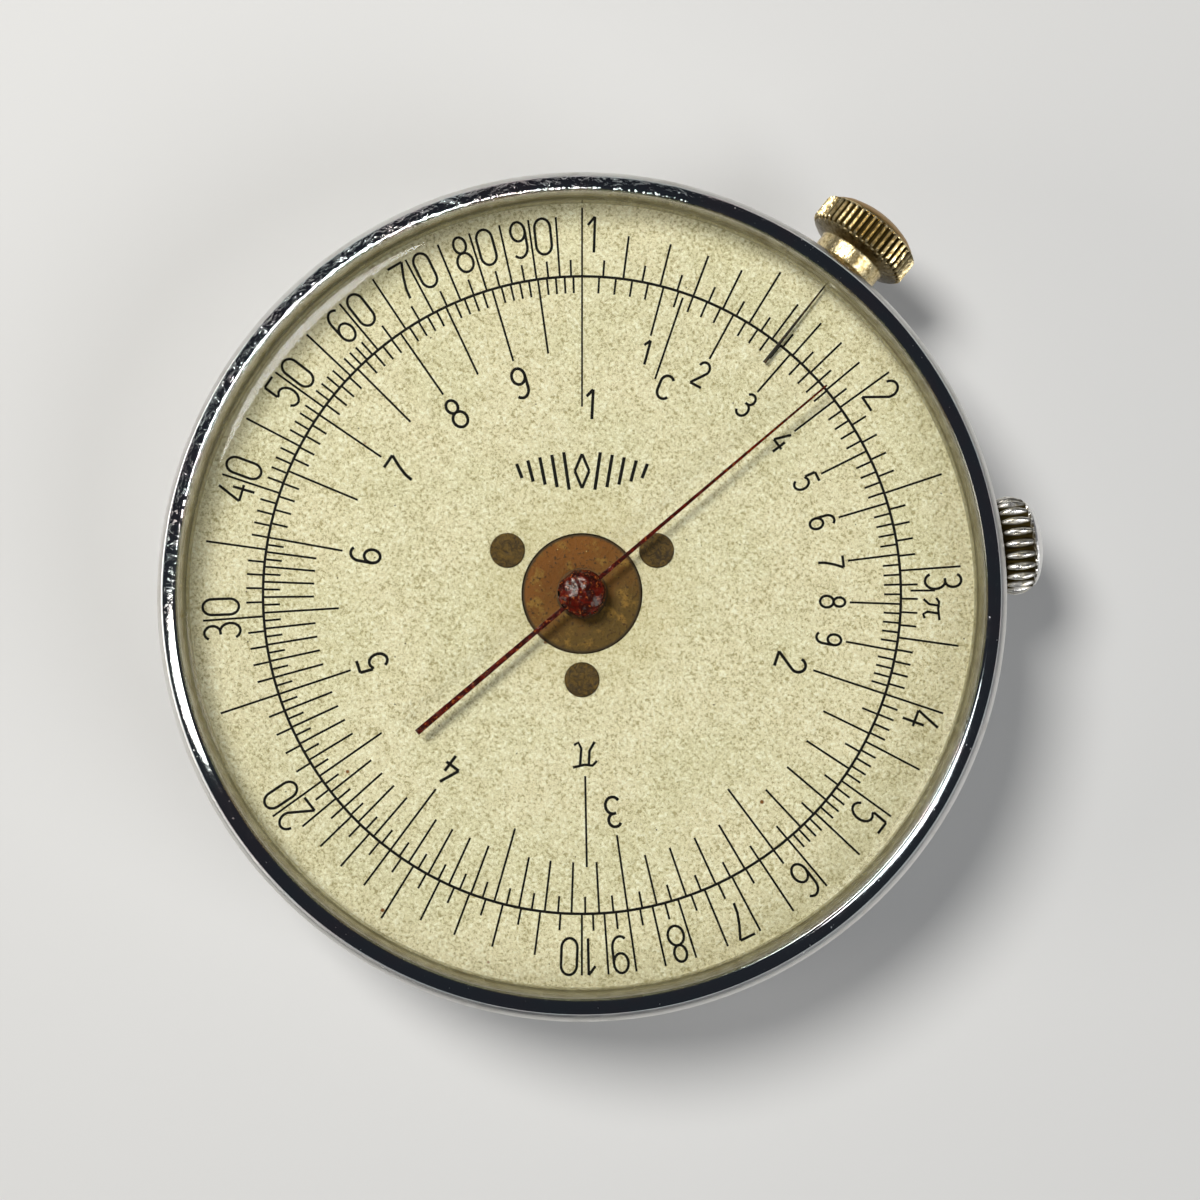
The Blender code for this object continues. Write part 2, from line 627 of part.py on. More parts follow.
def make_hand(name, material, axis, facing):
    """A needle right across the face, fine at its tip and wider at its tail, with a round boss."""
    outline = [(-HAND_TIP_WIDTH / 2, HAND_TIP), (-HAND_TAIL_WIDTH / 2, -HAND_TAIL),
               (HAND_TAIL_WIDTH / 2, -HAND_TAIL), (HAND_TIP_WIDTH / 2, HAND_TIP)]
    levels = sorted((facing * hand_bottom, facing * hand_top))
    needle = prism_mesh(outline, *levels)
    rotate_mesh(needle, REST_HAND_TURN)
    hand = finish(name, needle, material, axis)
    boss_levels = sorted((facing * hand_boss_bottom, facing * hand_boss_top))
    boss = turned_mesh(rod_profile(HAND_BOSS_RADIUS, *boss_levels), SMALL_FACETS)
    combine(hand, helper(name + "_boss", boss, axis), "UNION")
    hole = turned_mesh(rod_profile(hub_bore, boss_levels[0] - CUT_PAST,
                                   boss_levels[1] + CUT_PAST), TINY_FACETS)
    combine(hand, helper(name + "_hole_cutter", hole, axis))


def make_hand_hub(name, material, axis, mirror):
    """A domed cap pressed on the end of the arbor, over the hand."""
    profile = [(0.0, hub_hole_end), (hub_bore, hub_hole_end), (hub_bore, hub_bottom),
               (HAND_HUB_RADIUS, hub_bottom)]
    for step in range(4):
        lift = step * math.pi / 8
        profile.append((HAND_HUB_RADIUS * math.cos(lift), hub_bottom + HAND_HUB_EDGE
                        + (HAND_HUB_HEIGHT - HAND_HUB_EDGE) * math.sin(lift)))
    profile.append((0.0, hub_top))
    turned(name, mirrored(profile) if mirror else profile, SMALL_FACETS, material, axis)


def make_arbor(material, axis):
    spigot_end = hub_hole_end - SEAT_GAP
    shoulder = hand_boss_bottom - SEAT_GAP
    profile = [(0.0, -spigot_end), (SPIGOT_RADIUS, -spigot_end), (SPIGOT_RADIUS, -shoulder),
               (ARBOR_RADIUS, -shoulder), (ARBOR_RADIUS, shoulder), (SPIGOT_RADIUS, shoulder),
               (SPIGOT_RADIUS, spigot_end), (0.0, spigot_end)]
    turned("hand_arbor", profile, SMALL_FACETS, material, axis)


def make_rivet(number, material, axis):
    head_bottom = dial_face + SEAT_GAP
    tail_top = web_bottom - SEAT_GAP
    tail_bottom = tail_top - RIVET_TAIL
    profile = [(0.0, tail_bottom), (RIVET_TAIL_RADIUS, tail_bottom), (RIVET_TAIL_RADIUS, tail_top),
               (RIVET_SHANK_RADIUS, tail_top), (RIVET_SHANK_RADIUS, head_bottom),
               (RIVET_HEAD_RADIUS, head_bottom),
               (RIVET_HEAD_RADIUS - RIVET_HEAD, head_bottom + RIVET_HEAD),
               (0.0, head_bottom + RIVET_HEAD)]
    body = turned_mesh(profile, TINY_FACETS)
    place_mesh(body, RIVET_CIRCLE, rivet_turn(number))
    finish("dial_rivet_%d" % (number + 1), body, material, axis)


def make_front_dial(material, axis):
    dial = turned("front_dial", tube_profile(boss_hole, dial_radius, dial_back, dial_face),
                  CASE_FACETS, material, axis)
    for number in range(RIVET_COUNT):
        drill(dial, axis, RIVET_SHANK_RADIUS + SEAT_GAP, dial_back - CUT_PAST,
              dial_face + CUT_PAST, RIVET_CIRCLE, rivet_turn(number))


def make_rear_dial(material, axis):
    bush_hole = TUBE_RADIUS + SEAT_GAP
    dial = turned("rear_dial", tube_profile(bush_hole, dial_radius, -dial_face, -dial_back),
                  CASE_FACETS, material, axis)
    for turn in REAR_SCREW_TURNS:
        drill(dial, axis, screw_hole, -dial_face - CUT_PAST, CUT_PAST - dial_back, screw_circle,
              turn)


clear_scene()
materials = {
    "steel": make_material("polished_steel", (0.62, 0.61, 0.58), 0.18, 1.0),
    "plated": make_material("plated_case", (0.66, 0.65, 0.60), 0.12, 1.0),
    "brass": make_material("brass", (0.52, 0.40, 0.17), 0.32, 1.0),
    "dark_brass": make_material("aged_brass", (0.24, 0.18, 0.09), 0.45, 1.0),
    "nickel": make_material("worn_nickel", (0.55, 0.53, 0.46), 0.25, 1.0),
    "dial": make_material("cream_enamel", (0.72, 0.71, 0.50), 0.65, 0.0),
    "red": make_material("red_lacquer", (0.25, 0.02, 0.02), 0.30, 0.0),
    "black": make_material("black_lacquer", (0.02, 0.02, 0.02), 0.35, 0.0),
    "crystal": make_material("clear_acrylic", (0.95, 0.96, 0.92), 0.04, 0.0, 0.15),
    "rubber": make_material("black_rubber", (0.02, 0.02, 0.02), 0.80, 0.0),
}

case_centre = make_axis("case_centre")
dial_axis = make_axis("dial_axis")
hands_axis = make_axis("hands_axis")
dial_knob_axis = make_axis("dial_knob_axis", DIAL_KNOB_DIRECTION)
hand_knob_axis = make_axis("hand_knob_axis", HAND_KNOB_DIRECTION)

# Case
make_mid_case(materials["plated"], case_centre,
              (("dial_crown", dial_knob_axis, DIAL_CROWN_RADIUS),
               ("hand_crown", hand_knob_axis, HAND_CROWN_RADIUS)))
make_main_plate(materials["brass"], case_centre,
                (("dial_pinion", dial_knob_axis, dial_wheel_pitch),
                 ("hand_pinion", hand_knob_axis, hand_wheel_pitch)))
for side, is_rear in (("front", False), ("rear", True)):
    make_crystal(side + "_crystal", materials["crystal"], case_centre, is_rear)
    make_bezel(side + "_bezel", materials["plated"], case_centre, is_rear)
    gasket = tube_profile(neck_bore + 2 * SEAT_GAP, foot_radius - SEAT_GAP, gasket_bottom,
                          gasket_bottom + GASKET_THICKNESS)
    turned(side + "_gasket", mirrored(gasket) if is_rear else gasket, CASE_FACETS,
           materials["rubber"], case_centre)
finish("fixed_index",
       prism_mesh(strip_outline(INDEX_INNER_WIDTH, INDEX_OUTER_WIDTH, INDEX_INNER_END,
                                neck_radius - SEAT_GAP), index_bottom,
                  index_bottom + INDEX_THICKNESS), materials["black"], case_centre)
for number, turn in enumerate(PLATE_SCREW_TURNS):
    make_screw("plate_screw_%d" % (number + 1), materials["steel"], case_centre, turn,
               SCREW_HEAD_RADIUS, SCREW_HEAD, PLATE_HALF_THICKNESS + SEAT_GAP,
               2 * PLATE_HALF_THICKNESS + SCREW_LENGTH, 1)
make_rear_dial(materials["dial"], case_centre)
for number, turn in enumerate(REAR_SCREW_TURNS):
    make_screw("rear_dial_screw_%d" % (number + 1), materials["steel"], case_centre, turn,
               DIAL_SCREW_HEAD_RADIUS, DIAL_SCREW_HEAD, -dial_face - SEAT_GAP,
               DIAL_THICKNESS + SCREW_LENGTH, -1)

# Centre
turned("centre_tube",
       [(tube_bore, tube_end), (TUBE_RADIUS, tube_end), (TUBE_RADIUS, flange_bottom),
        (tube_flange_radius, flange_bottom), (tube_flange_radius, flange_top),
        (tube_bore, flange_top)],
       SMALL_FACETS, materials["dark_brass"], case_centre)
turned("centre_tube_nut",
       tube_profile(TUBE_RADIUS + SEAT_GAP, NUT_RADIUS, nut_bottom, nut_top), SMALL_FACETS,
       materials["brass"], case_centre)
turned("dial_spring_washer",
       tube_profile(TUBE_RADIUS + RUN_GAP, HUB_RADIUS, PLATE_HALF_THICKNESS + SEAT_GAP,
                    PLATE_HALF_THICKNESS + SEAT_GAP + WASHER_THICKNESS), SMALL_FACETS,
       materials["steel"], case_centre)
turned("rear_bush",
       [(tube_bore, -dial_back), (tube_bore, -bush_end), (BUSH_FLANGE_RADIUS, -bush_end),
        (BUSH_FLANGE_RADIUS, -dial_face - SEAT_GAP), (TUBE_RADIUS, -dial_face - SEAT_GAP),
        (TUBE_RADIUS, -dial_back)], SMALL_FACETS, materials["brass"], case_centre)

# Dial
make_front_dial(materials["dial"], dial_axis)
make_dial_wheel(materials["dark_brass"], dial_axis)
for number in range(RIVET_COUNT):
    make_rivet(number, materials["dark_brass"], dial_axis)

# Hands
make_arbor(materials["steel"], hands_axis)
make_hand_wheel(materials["brass"], hands_axis)
turned("hand_spring_washer",
       tube_profile(ARBOR_RADIUS + SEAT_GAP, HAND_WHEEL_HUB_RADIUS, hand_hub_top + SEAT_GAP,
                    hand_hub_top + SEAT_GAP + WASHER_THICKNESS), SMALL_FACETS, materials["steel"],
       hands_axis)
make_hand("front_hand", materials["red"], hands_axis, 1)
make_hand("rear_hand", materials["red"], hands_axis, -1)
make_hand_hub("front_hand_hub", materials["red"], hands_axis, False)
make_hand_hub("rear_hand_hub", materials["red"], hands_axis, True)

# Knobs: the dial's pinion meets its wheel above the stem, the hands' pinion below it
make_knob("dial", dial_knob_axis, dial_wheel_pitch, math.pi / 2, dial_crown_base, dial_grip_top,
          materials)
make_knob("hand", hand_knob_axis, hand_wheel_pitch, -math.pi / 2, hand_crown_base, hand_grip_top,
          materials)
make_dial_crown(materials["brass"], dial_knob_axis)
make_hand_crown(materials["nickel"], hand_knob_axis)
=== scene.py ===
"""Looks for a pocket circular slide rule in a watch case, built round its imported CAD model."""
import math

import bpy
from mathutils import Matrix, Vector


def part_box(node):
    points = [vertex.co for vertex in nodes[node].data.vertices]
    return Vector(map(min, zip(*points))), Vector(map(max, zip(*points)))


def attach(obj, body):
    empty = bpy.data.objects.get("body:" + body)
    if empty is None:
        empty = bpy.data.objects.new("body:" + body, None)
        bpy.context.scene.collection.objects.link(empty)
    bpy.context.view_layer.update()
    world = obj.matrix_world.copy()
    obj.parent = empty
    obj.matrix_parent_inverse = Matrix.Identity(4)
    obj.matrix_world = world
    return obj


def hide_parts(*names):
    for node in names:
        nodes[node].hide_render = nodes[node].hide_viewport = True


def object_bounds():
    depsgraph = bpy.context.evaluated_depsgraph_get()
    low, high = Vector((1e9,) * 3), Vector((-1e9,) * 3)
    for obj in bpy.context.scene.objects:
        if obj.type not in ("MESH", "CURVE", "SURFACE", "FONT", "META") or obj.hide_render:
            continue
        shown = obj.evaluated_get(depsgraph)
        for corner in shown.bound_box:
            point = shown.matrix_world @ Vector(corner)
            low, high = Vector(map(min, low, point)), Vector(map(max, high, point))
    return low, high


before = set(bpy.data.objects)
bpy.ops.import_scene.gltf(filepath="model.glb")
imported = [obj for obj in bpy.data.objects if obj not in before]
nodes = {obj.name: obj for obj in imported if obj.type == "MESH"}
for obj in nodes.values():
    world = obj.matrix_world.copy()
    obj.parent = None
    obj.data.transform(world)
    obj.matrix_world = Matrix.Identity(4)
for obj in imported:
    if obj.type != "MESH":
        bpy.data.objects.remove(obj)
cad_box = [list(corner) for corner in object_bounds()]
MM = 0.001

# Steel works: stems, pinions, arbor, screws and spring washers. Turned from rod and polished, so
# they carry fine tool lines round their axes and a few dull patches of old oil.


class Tone:
    """One value of a finish. Sums written with it become the nodes that work them out."""

    def __init__(self, finish, socket):
        self.finish = finish
        self.socket = socket

    def worked(self, operation, first, second):
        return self.finish.node("ShaderNodeMath", {"operation": operation}, {0: first, 1: second})

    def __add__(self, other):
        return self.worked("ADD", self, other)

    def __radd__(self, other):
        return self.worked("ADD", other, self)

    def __sub__(self, other):
        return self.worked("SUBTRACT", self, other)

    def __rsub__(self, other):
        return self.worked("SUBTRACT", other, self)

    def __mul__(self, other):
        return self.worked("MULTIPLY", self, other)

    def __rmul__(self, other):
        return self.worked("MULTIPLY", other, self)

    def step(self, low, high):
        """0 below low, 1 above high, and smooth between the two."""
        return self.finish.node("ShaderNodeMapRange", {"interpolation_type": "SMOOTHSTEP"},
                                {"Value": self, "From Min": low, "From Max": high})


class Finish:
    """A material whose patterns are laid out in millimetres about a centre on the object."""

    def __init__(self, name, centre=(0.0, 0.0, 0.0), turn=0.0, **sockets):
        self.material = bpy.data.materials.new(name)
        self.material.use_nodes = True
        self.tree = self.material.node_tree
        self.surface = self.tree.nodes["Principled BSDF"]
        self.feed(**sockets)
        self.place = self.node("ShaderNodeMapping", {"vector_type": "TEXTURE"}, {
            "Vector": self.node("ShaderNodeTexCoord", output="Object"),
            "Location": tuple(MM * part for part in centre), "Rotation": (0.0, 0.0, turn),
            "Scale": (MM, MM, MM)})

    def join(self, socket, value):
        if isinstance(value, Tone):
            self.tree.links.new(value.socket, socket)
        elif socket.type == "RGBA":
            socket.default_value = (*value, 1.0)
        else:
            socket.default_value = value

    def node(self, kind, settings=None, values=None, output=0):
        made = self.tree.nodes.new(kind)
        for setting, value in (settings or {}).items():
            setattr(made, setting, value)
        for place, value in (values or {}).items():
            self.join(made.inputs[place], value)
        return Tone(self, made.outputs[output])

    def feed(self, **sockets):
        for name, value in sockets.items():
            label = name.replace("_", " ").title().replace("Ior", "IOR")
            self.join(self.surface.inputs[label], value)

    def noise(self, scale, detail=2.0, roughness=0.5, distortion=0.0):
        return self.node("ShaderNodeTexNoise", {}, {
            "Vector": self.place, "Scale": scale, "Detail": detail,
            "Roughness": roughness, "Distortion": distortion}, "Fac")

    def specks(self, scale, size, share):
        """Round spots, one in some of the cells of a grid: share of the cells have one."""
        grid = self.node("ShaderNodeTexVoronoi", {}, {"Vector": self.place, "Scale": scale})
        tint = self.node("ShaderNodeSeparateColor", {}, {
            0: Tone(self, grid.socket.node.outputs["Color"])})
        return (1 - grid.step(size * 0.5, size)) * (1 - tint.step(share - 0.01, share))

    def mix(self, factor, first, second):
        return self.node("ShaderNodeMix", {"data_type": "RGBA"}, {0: factor, 6: first, 7: second},
                         2)

    def reach(self):
        """Distance from the Z axis of the pattern, in millimetres."""
        flat = self.node("ShaderNodeVectorMath", {"operation": "MULTIPLY"},
                         {0: self.place, 1: (1.0, 1.0, 0.0)})
        return self.node("ShaderNodeVectorMath", {"operation": "LENGTH"}, {0: flat}, "Value")

    def side(self, number):
        """One coordinate of the pattern: 0 is X, 1 is Y and 2 is Z."""
        return self.node("ShaderNodeSeparateXYZ", {}, {0: self.place}, number)

    def relief(self, height, depth):
        """Bump from a height field of 0 to 1, depth millimetres deep."""
        self.feed(normal=self.node("ShaderNodeBump", {}, {"Height": height, "Strength": 1.0,
                                                          "Distance": depth * MM}))


def give(finish, *names):
    """Put a finish on CAD nodes that stay."""
    for name in names:
        for place in nodes[name].material_slots:
            place.material = finish.material


steel = Finish("polished_steel", metallic=1.0)
steel_lines = steel.noise(9.0, 2.0)
steel_oil = steel.noise(0.8, 2.0).step(0.50, 0.70)
steel.feed(base_color=steel.mix(steel_oil, (0.62, 0.61, 0.58), (0.42, 0.38, 0.30)),
           roughness=0.18 + 0.10 * steel_lines + 0.20 * steel_oil)
steel.relief(steel_lines, 0.004)
give(steel, "dial_stem", "hand_stem", "dial_pinion", "hand_pinion", "hand_arbor",
     "dial_spring_washer", "hand_spring_washer", "plate_screw_1", "plate_screw_2", "plate_screw_3")

# Brass works: the main plate, the nut on the centre tube, the stem tubes and the hands' wheel.
# Turned and stamped from sheet and rod, left satin, and darker where fingers have touched them.
brass = Finish("satin_brass", metallic=1.0)
brass_grain = brass.noise(12.0, 3.0, 0.6)
brass_tarnish = brass.noise(0.35, 4.0, 0.6).step(0.45, 0.72)
brass.feed(base_color=brass.mix(brass_tarnish, (0.62, 0.46, 0.19), (0.34, 0.21, 0.08)),
           roughness=0.28 + 0.12 * brass_grain + 0.18 * brass_tarnish)
brass.relief(brass_grain, 0.006)
give(brass, "main_plate", "centre_tube_nut", "dial_stem_tube", "hand_stem_tube", "hand_wheel")

# The dial's wheel and the centre tube are the same brass, lacquered long ago and gone brown.
old_brass = Finish("aged_brass", metallic=0.6)
old_cloud = old_brass.noise(0.9, 4.0, 0.65)
old_brass.feed(base_color=old_brass.mix(old_cloud.step(0.35, 0.65), (0.13, 0.060, 0.018),
                                        (0.05, 0.028, 0.010)),
               roughness=0.40 + 0.20 * old_cloud)
old_brass.relief(old_brass.noise(10.0, 3.0, 0.6), 0.010)
give(old_brass, "dial_wheel", "centre_tube")

# Rubber: flat rings that seal both crystals, and the small seals inside the crowns. Cut from
# sheet, gone olive and matt with age. The rings under the crystals show through their edges.
rubber = Finish("aged_rubber")
rubber_dust = rubber.noise(4.0, 4.0, 0.6)
rubber.feed(base_color=rubber.mix(rubber_dust, (0.050, 0.044, 0.022), (0.14, 0.12, 0.065)),
            roughness=0.65 + 0.25 * rubber_dust)
rubber.relief(rubber_dust, 0.02)
give(rubber, "dial_crown_seal", "hand_crown_seal")

FINE = 192               # facets round the case


def top(node):
    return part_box(node)[1].z / MM


def foot(node):
    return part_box(node)[0].z / MM


def reach(node):
    """Largest radius of a CAD node about the dial's axis, in millimetres."""
    return max(corner.co.xy.length for corner in nodes[node].data.vertices) / MM


def turned(name, profile, facets, ring=True):
    """Turn (radius, height) points, in millimetres, about the dial's axis: a circle at the first
    point, extruded through the others. A ring closes on its first point; a solid piece starts
    with a flat face, and ends with one too, or in a point where its last radius is 0."""
    bpy.ops.object.select_all(action="DESELECT")
    radius, height = profile[0]
    bpy.ops.mesh.primitive_circle_add(vertices=facets, radius=radius * MM,
                                      fill_type="NOTHING" if ring else "NGON",
                                      location=(0, 0, height * MM))
    piece = bpy.context.object
    piece.name = name
    bpy.ops.object.mode_set(mode="EDIT")
    bpy.ops.mesh.select_mode(type="EDGE")
    bpy.ops.mesh.select_all(action="SELECT")
    for next_radius, next_height in profile[1:] + (profile[:1] if ring else []):
        bpy.ops.mesh.extrude_edges_indiv()
        bpy.ops.transform.translate(value=(0, 0, (next_height - height) * MM))
        if next_radius == 0.0:
            bpy.ops.mesh.merge(type="CENTER")
        else:
            size = next_radius / radius
            bpy.ops.transform.resize(value=(size, size, 1), center_override=(0, 0, 0))
        radius, height = next_radius, next_height
    if not ring and radius > 0.0:
        bpy.ops.mesh.edge_face_add()
    bpy.ops.mesh.select_all(action="SELECT")
    bpy.ops.mesh.remove_doubles(threshold=1e-7)
    bpy.ops.mesh.normals_make_consistent(inside=False)
    bpy.ops.object.mode_set(mode="OBJECT")
    bpy.ops.object.transform_apply(location=True)
    return piece


def select_only(piece):
    bpy.ops.object.select_all(action="DESELECT")
    piece.select_set(True)
    bpy.context.view_layer.objects.active = piece


def apply_last(piece):
    """Apply a piece's newest modifier."""
    select_only(piece)
    bpy.ops.object.modifier_apply(modifier=piece.modifiers[-1].name)


def softened(piece, width=0.0, segments=2, crease=30.0):
    """Round a piece's sharp edges by a width in millimetres, and shade it smooth."""
    if width:
        edge = piece.modifiers.new("edge", "BEVEL")
        edge.width = width * MM
        edge.segments = segments
        edge.limit_method = "ANGLE"
        edge.angle_limit = math.radians(crease)
        edge.use_clamp_overlap = True
        apply_last(piece)
    select_only(piece)
    bpy.ops.object.shade_smooth_by_angle(angle=math.radians(35.0))
    piece.modifiers.new("flat_faces", "WEIGHTED_NORMAL").keep_sharp = True
    apply_last(piece)
    return piece


def fitted(piece, finish, slot, body, *stands_for):
    """Finish a piece and fix it on its CAD body, in place of CAD nodes."""
    piece.data.name = piece.name
    piece.data.materials.clear()
    piece.data.materials.append(finish.material)
    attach(piece, body)
    if stands_for:
        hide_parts(*stands_for)
    return piece


MIDDLE = (cad_box[0][2] + cad_box[1][2]) / 2 / MM


def rear(profile):
    """The same profile on the rear of the case."""
    return [(radius, 2 * MIDDLE - height) for radius, height in profile]


SEAL_WIDTH = 0.60
seal_outer = reach("front_gasket")
seal_top, seal_foot = top("front_gasket"), foot("front_gasket")
seal = [(seal_outer - SEAL_WIDTH, seal_foot), (seal_outer, seal_foot), (seal_outer, seal_top),
        (seal_outer - SEAL_WIDTH, seal_top)]
for side, profile in (("front", seal), ("rear", rear(seal))):
    fitted(softened(turned(side + "_seal_ring", profile, FINE), 0.05), rubber, "gasket_rubber",
           "case", side + "_gasket")

# Mid-case: the ring that everything is built into, with the band seen outside the bezels, a neck
# on each side for bezel and crystal, and a bored, shallow round seat under each crown. Turned from
# brass bar and plated, with a polish that has gone grey and finely pitted.
DIAL_KNOB_TURN = 90.0    # direction of each knob, in degrees from +X
HAND_KNOB_TURN = 45.0
STEM_BORE = 1.10
SEAT_MARGIN = 0.10
CROWN_FLAT = 0.20
NECK_WALL = 0.75
LEDGE = 2.00
INDEX_SLOT = 0.60
EDGE = 0.30              # chamfer on the band
GAP = 0.05               # clearance between neighbouring pieces


def out_along(degrees):
    """The place of a knob: its own Z runs out along the knob from the middle of the case."""
    angle = math.radians(degrees)
    outward = Vector((math.cos(angle), math.sin(angle), 0.0))
    across = Vector((-math.sin(angle), math.cos(angle), 0.0))
    turn = Matrix((across, outward.cross(across), outward)).transposed().to_4x4()
    return Matrix.Translation((0, 0, MIDDLE * MM)) @ turn


def moved(piece, place):
    """Put a piece somewhere else, and leave its object at the origin."""
    select_only(piece)
    piece.matrix_world = place
    bpy.ops.object.transform_apply(location=True, rotation=True, scale=True)
    return piece


def combined(piece, tool, operation="DIFFERENCE"):
    """Cut a tool out of a piece, or weld it on, and throw the tool away."""
    cut = piece.modifiers.new("cut", "BOOLEAN")
    cut.operation = operation
    cut.object = tool
    cut.solver = "EXACT"
    apply_last(piece)
    bpy.data.objects.remove(tool)
    return piece


case_radius = reach("mid_case")
neck_top = top("mid_case")
band_top = foot("front_bezel") - GAP
band_foot = 2 * MIDDLE - band_top
neck_radius = reach("front_gasket") + GAP
neck_bore = neck_radius - NECK_WALL
plate_bore = reach("main_plate") + GAP
plate_seat = foot("main_plate") - GAP
ledge_foot = top("rear_dial") + GAP
dial_top, dial_foot = top("front_dial"), foot("front_dial")
case_ring = turned("case_ring", [
    (neck_bore, neck_top), (neck_radius, neck_top), (neck_radius, band_top),
    (case_radius - EDGE, band_top), (case_radius, band_top - EDGE),
    (case_radius, band_foot + EDGE), (case_radius - EDGE, band_foot),
    (neck_radius, band_foot), (neck_radius, 2 * MIDDLE - neck_top),
    (neck_bore, 2 * MIDDLE - neck_top), (neck_bore, ledge_foot),
    (plate_bore - LEDGE, ledge_foot), (plate_bore - LEDGE, plate_seat),
    (plate_bore, plate_seat), (plate_bore, dial_foot - 0.30), (neck_bore, dial_foot - 0.30)], FINE)
dial_crown_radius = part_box("dial_crown")[1].x / MM
hand_crown_radius = (top("hand_crown") - foot("hand_crown")) / 2
for degrees, crown_radius in ((DIAL_KNOB_TURN, dial_crown_radius),
                              (HAND_KNOB_TURN, hand_crown_radius)):
    seat = turned("seat", [(STEM_BORE, plate_bore - LEDGE - 1.0),
                           (STEM_BORE, case_radius - CROWN_FLAT),
                           (crown_radius + SEAT_MARGIN, case_radius - CROWN_FLAT),
                           (crown_radius + SEAT_MARGIN, case_radius + 1.0)], 96, ring=False)
    combined(case_ring, moved(seat, out_along(degrees)))
bpy.ops.object.select_all(action="DESELECT")
bpy.ops.mesh.primitive_cube_add(size=1.0, location=(0, neck_bore * MM, neck_top * MM),
                                scale=(INDEX_SLOT * MM, 3 * MM, 0.44 * MM))
combined(case_ring, bpy.context.object)
softened(case_ring, 0.06)

plating = Finish("grey_plating", metallic=1.0)
plating_grain = plating.noise(14.0, 3.0, 0.6)
plating_wear = plating.noise(0.5, 5.0, 0.7).step(0.50, 0.75)
plating_pits = plating.specks(1.6, 0.10, 0.18)
plating.feed(base_color=plating.mix(plating_wear, (0.82, 0.81, 0.78), (0.72, 0.70, 0.65)),
             roughness=0.30 + 0.12 * plating_grain + 0.15 * plating_wear + 0.2 * plating_pits)
plating.relief(0.3 * plating_grain - 0.7 * plating_pits, 0.012)
fitted(case_ring, plating, "case_metal", "case", "mid_case")

# Front dial: a stamped brass disc with a hole for the boss and three for rivets, primed and
# sprayed with a cream paint that has dried in a pebbly, fibrous grain. It has a few dark specks,
# some rust dots, and a dirtier edge near the middle.
UNIT_LINE = 128.3        # direction of the dial's unit line at rest, in degrees from +X
BOSS_HOLE = 3.53
RIVET_CIRCLE = 5.02
RIVET_HOLE = 0.50

dial_radius = reach("front_dial")
front_dial = turned("dial_plate", [(BOSS_HOLE, dial_foot), (dial_radius, dial_foot),
                                   (dial_radius, dial_top), (BOSS_HOLE, dial_top)], FINE)
for number in range(3):
    angle = math.radians(UNIT_LINE + 180.0 + 120.0 * number)
    bpy.ops.object.select_all(action="DESELECT")
    bpy.ops.mesh.primitive_cylinder_add(vertices=32, radius=RIVET_HOLE * MM, depth=4 * MM, location=(
        RIVET_CIRCLE * MM * math.cos(angle), RIVET_CIRCLE * MM * math.sin(angle), dial_top * MM))
    combined(front_dial, bpy.context.object)
softened(front_dial, 0.03)


def painted(name):
    """Cream dial paint."""
    paint = Finish(name)
    pebble = paint.noise(5.0, 2.0, 0.55, 0.5)
    fibre = paint.noise(8.0, 2.0, 0.5, 2.4)
    cloud = paint.noise(0.16, 3.0, 0.55)
    swell = paint.noise(1.5, 3.0, 0.60, 0.4)
    grain = 0.45 * pebble + 0.35 * fibre + 0.20 * swell
    middle = 1 - paint.reach().step(3.4, 7.5)
    cream = paint.mix(cloud.step(0.35, 0.65), (0.835, 0.765, 0.535), (0.775, 0.725, 0.490))
    cream = paint.mix(grain.step(0.40, 0.49), (0.44, 0.385, 0.210), cream)
    cream = paint.mix(grain.step(0.51, 0.60), cream, (0.99, 0.97, 0.78))
    cream = paint.mix(middle * 0.30, cream, (0.62, 0.53, 0.27))
    rust = paint.specks(0.45, 0.075, 0.10)
    cream = paint.mix(rust, cream, (0.22, 0.09, 0.025))
    black = paint.specks(1.1, 0.065, 0.16)
    cream = paint.mix(black, cream, (0.05, 0.04, 0.03))
    paint.feed(base_color=cream, roughness=0.60 + 0.25 * pebble, specular_ior_level=0.15)
    paint.relief(0.75 * grain + 0.25 * swell, 0.26)
    return paint


dial_paint = painted("cream_dial_paint")
fitted(front_dial, dial_paint, "dial_face", "dial", "front_dial")

# Boss of the dial's wheel, which shows in the hole in the middle of the dial: the wheel itself
# stays, with a turned brass face over it. The lacquer on it has gone brown in clouds, olive on
# one side, and there are light specks in it.
boss_top = dial_top - GAP
BOSS_INNER = 1.50
BOSS_OUTER = 3.46
boss_face = turned("boss_face", [(BOSS_INNER, boss_top - 0.02), (BOSS_OUTER, boss_top - 0.02),
                                 (BOSS_OUTER, boss_top + 0.015), (BOSS_INNER, boss_top + 0.015)],
                   128)
boss_brass = Finish("clouded_lacquer", metallic=0.1, specular_ior_level=0.2)
boss_cloud = boss_brass.noise(1.1, 5.0, 0.68)
boss_fine = boss_brass.noise(5.0, 3.0, 0.6)
boss_ends = boss_brass.side(0) * 0.16 + boss_brass.side(1) * -0.05 + 0.5
boss_colour = boss_brass.mix((boss_ends * 0.55 + boss_cloud * 0.5).step(0.30, 0.75),
                             (0.170, 0.058, 0.005), (0.092, 0.052, 0.008))
boss_colour = boss_brass.mix(boss_cloud.step(0.50, 0.68), boss_colour, (0.235, 0.125, 0.022))
boss_colour = boss_brass.mix(boss_fine.step(0.55, 0.68), boss_colour, (0.050, 0.024, 0.005))
boss_colour = boss_brass.mix(boss_brass.reach().step(3.26, 3.44), boss_colour,
                             (0.035, 0.022, 0.008))
boss_colour = boss_brass.mix(boss_brass.specks(2.2, 0.10, 0.14), boss_colour, (0.45, 0.33, 0.12))
boss_brass.feed(base_color=boss_colour, roughness=0.38 + 0.25 * boss_cloud)
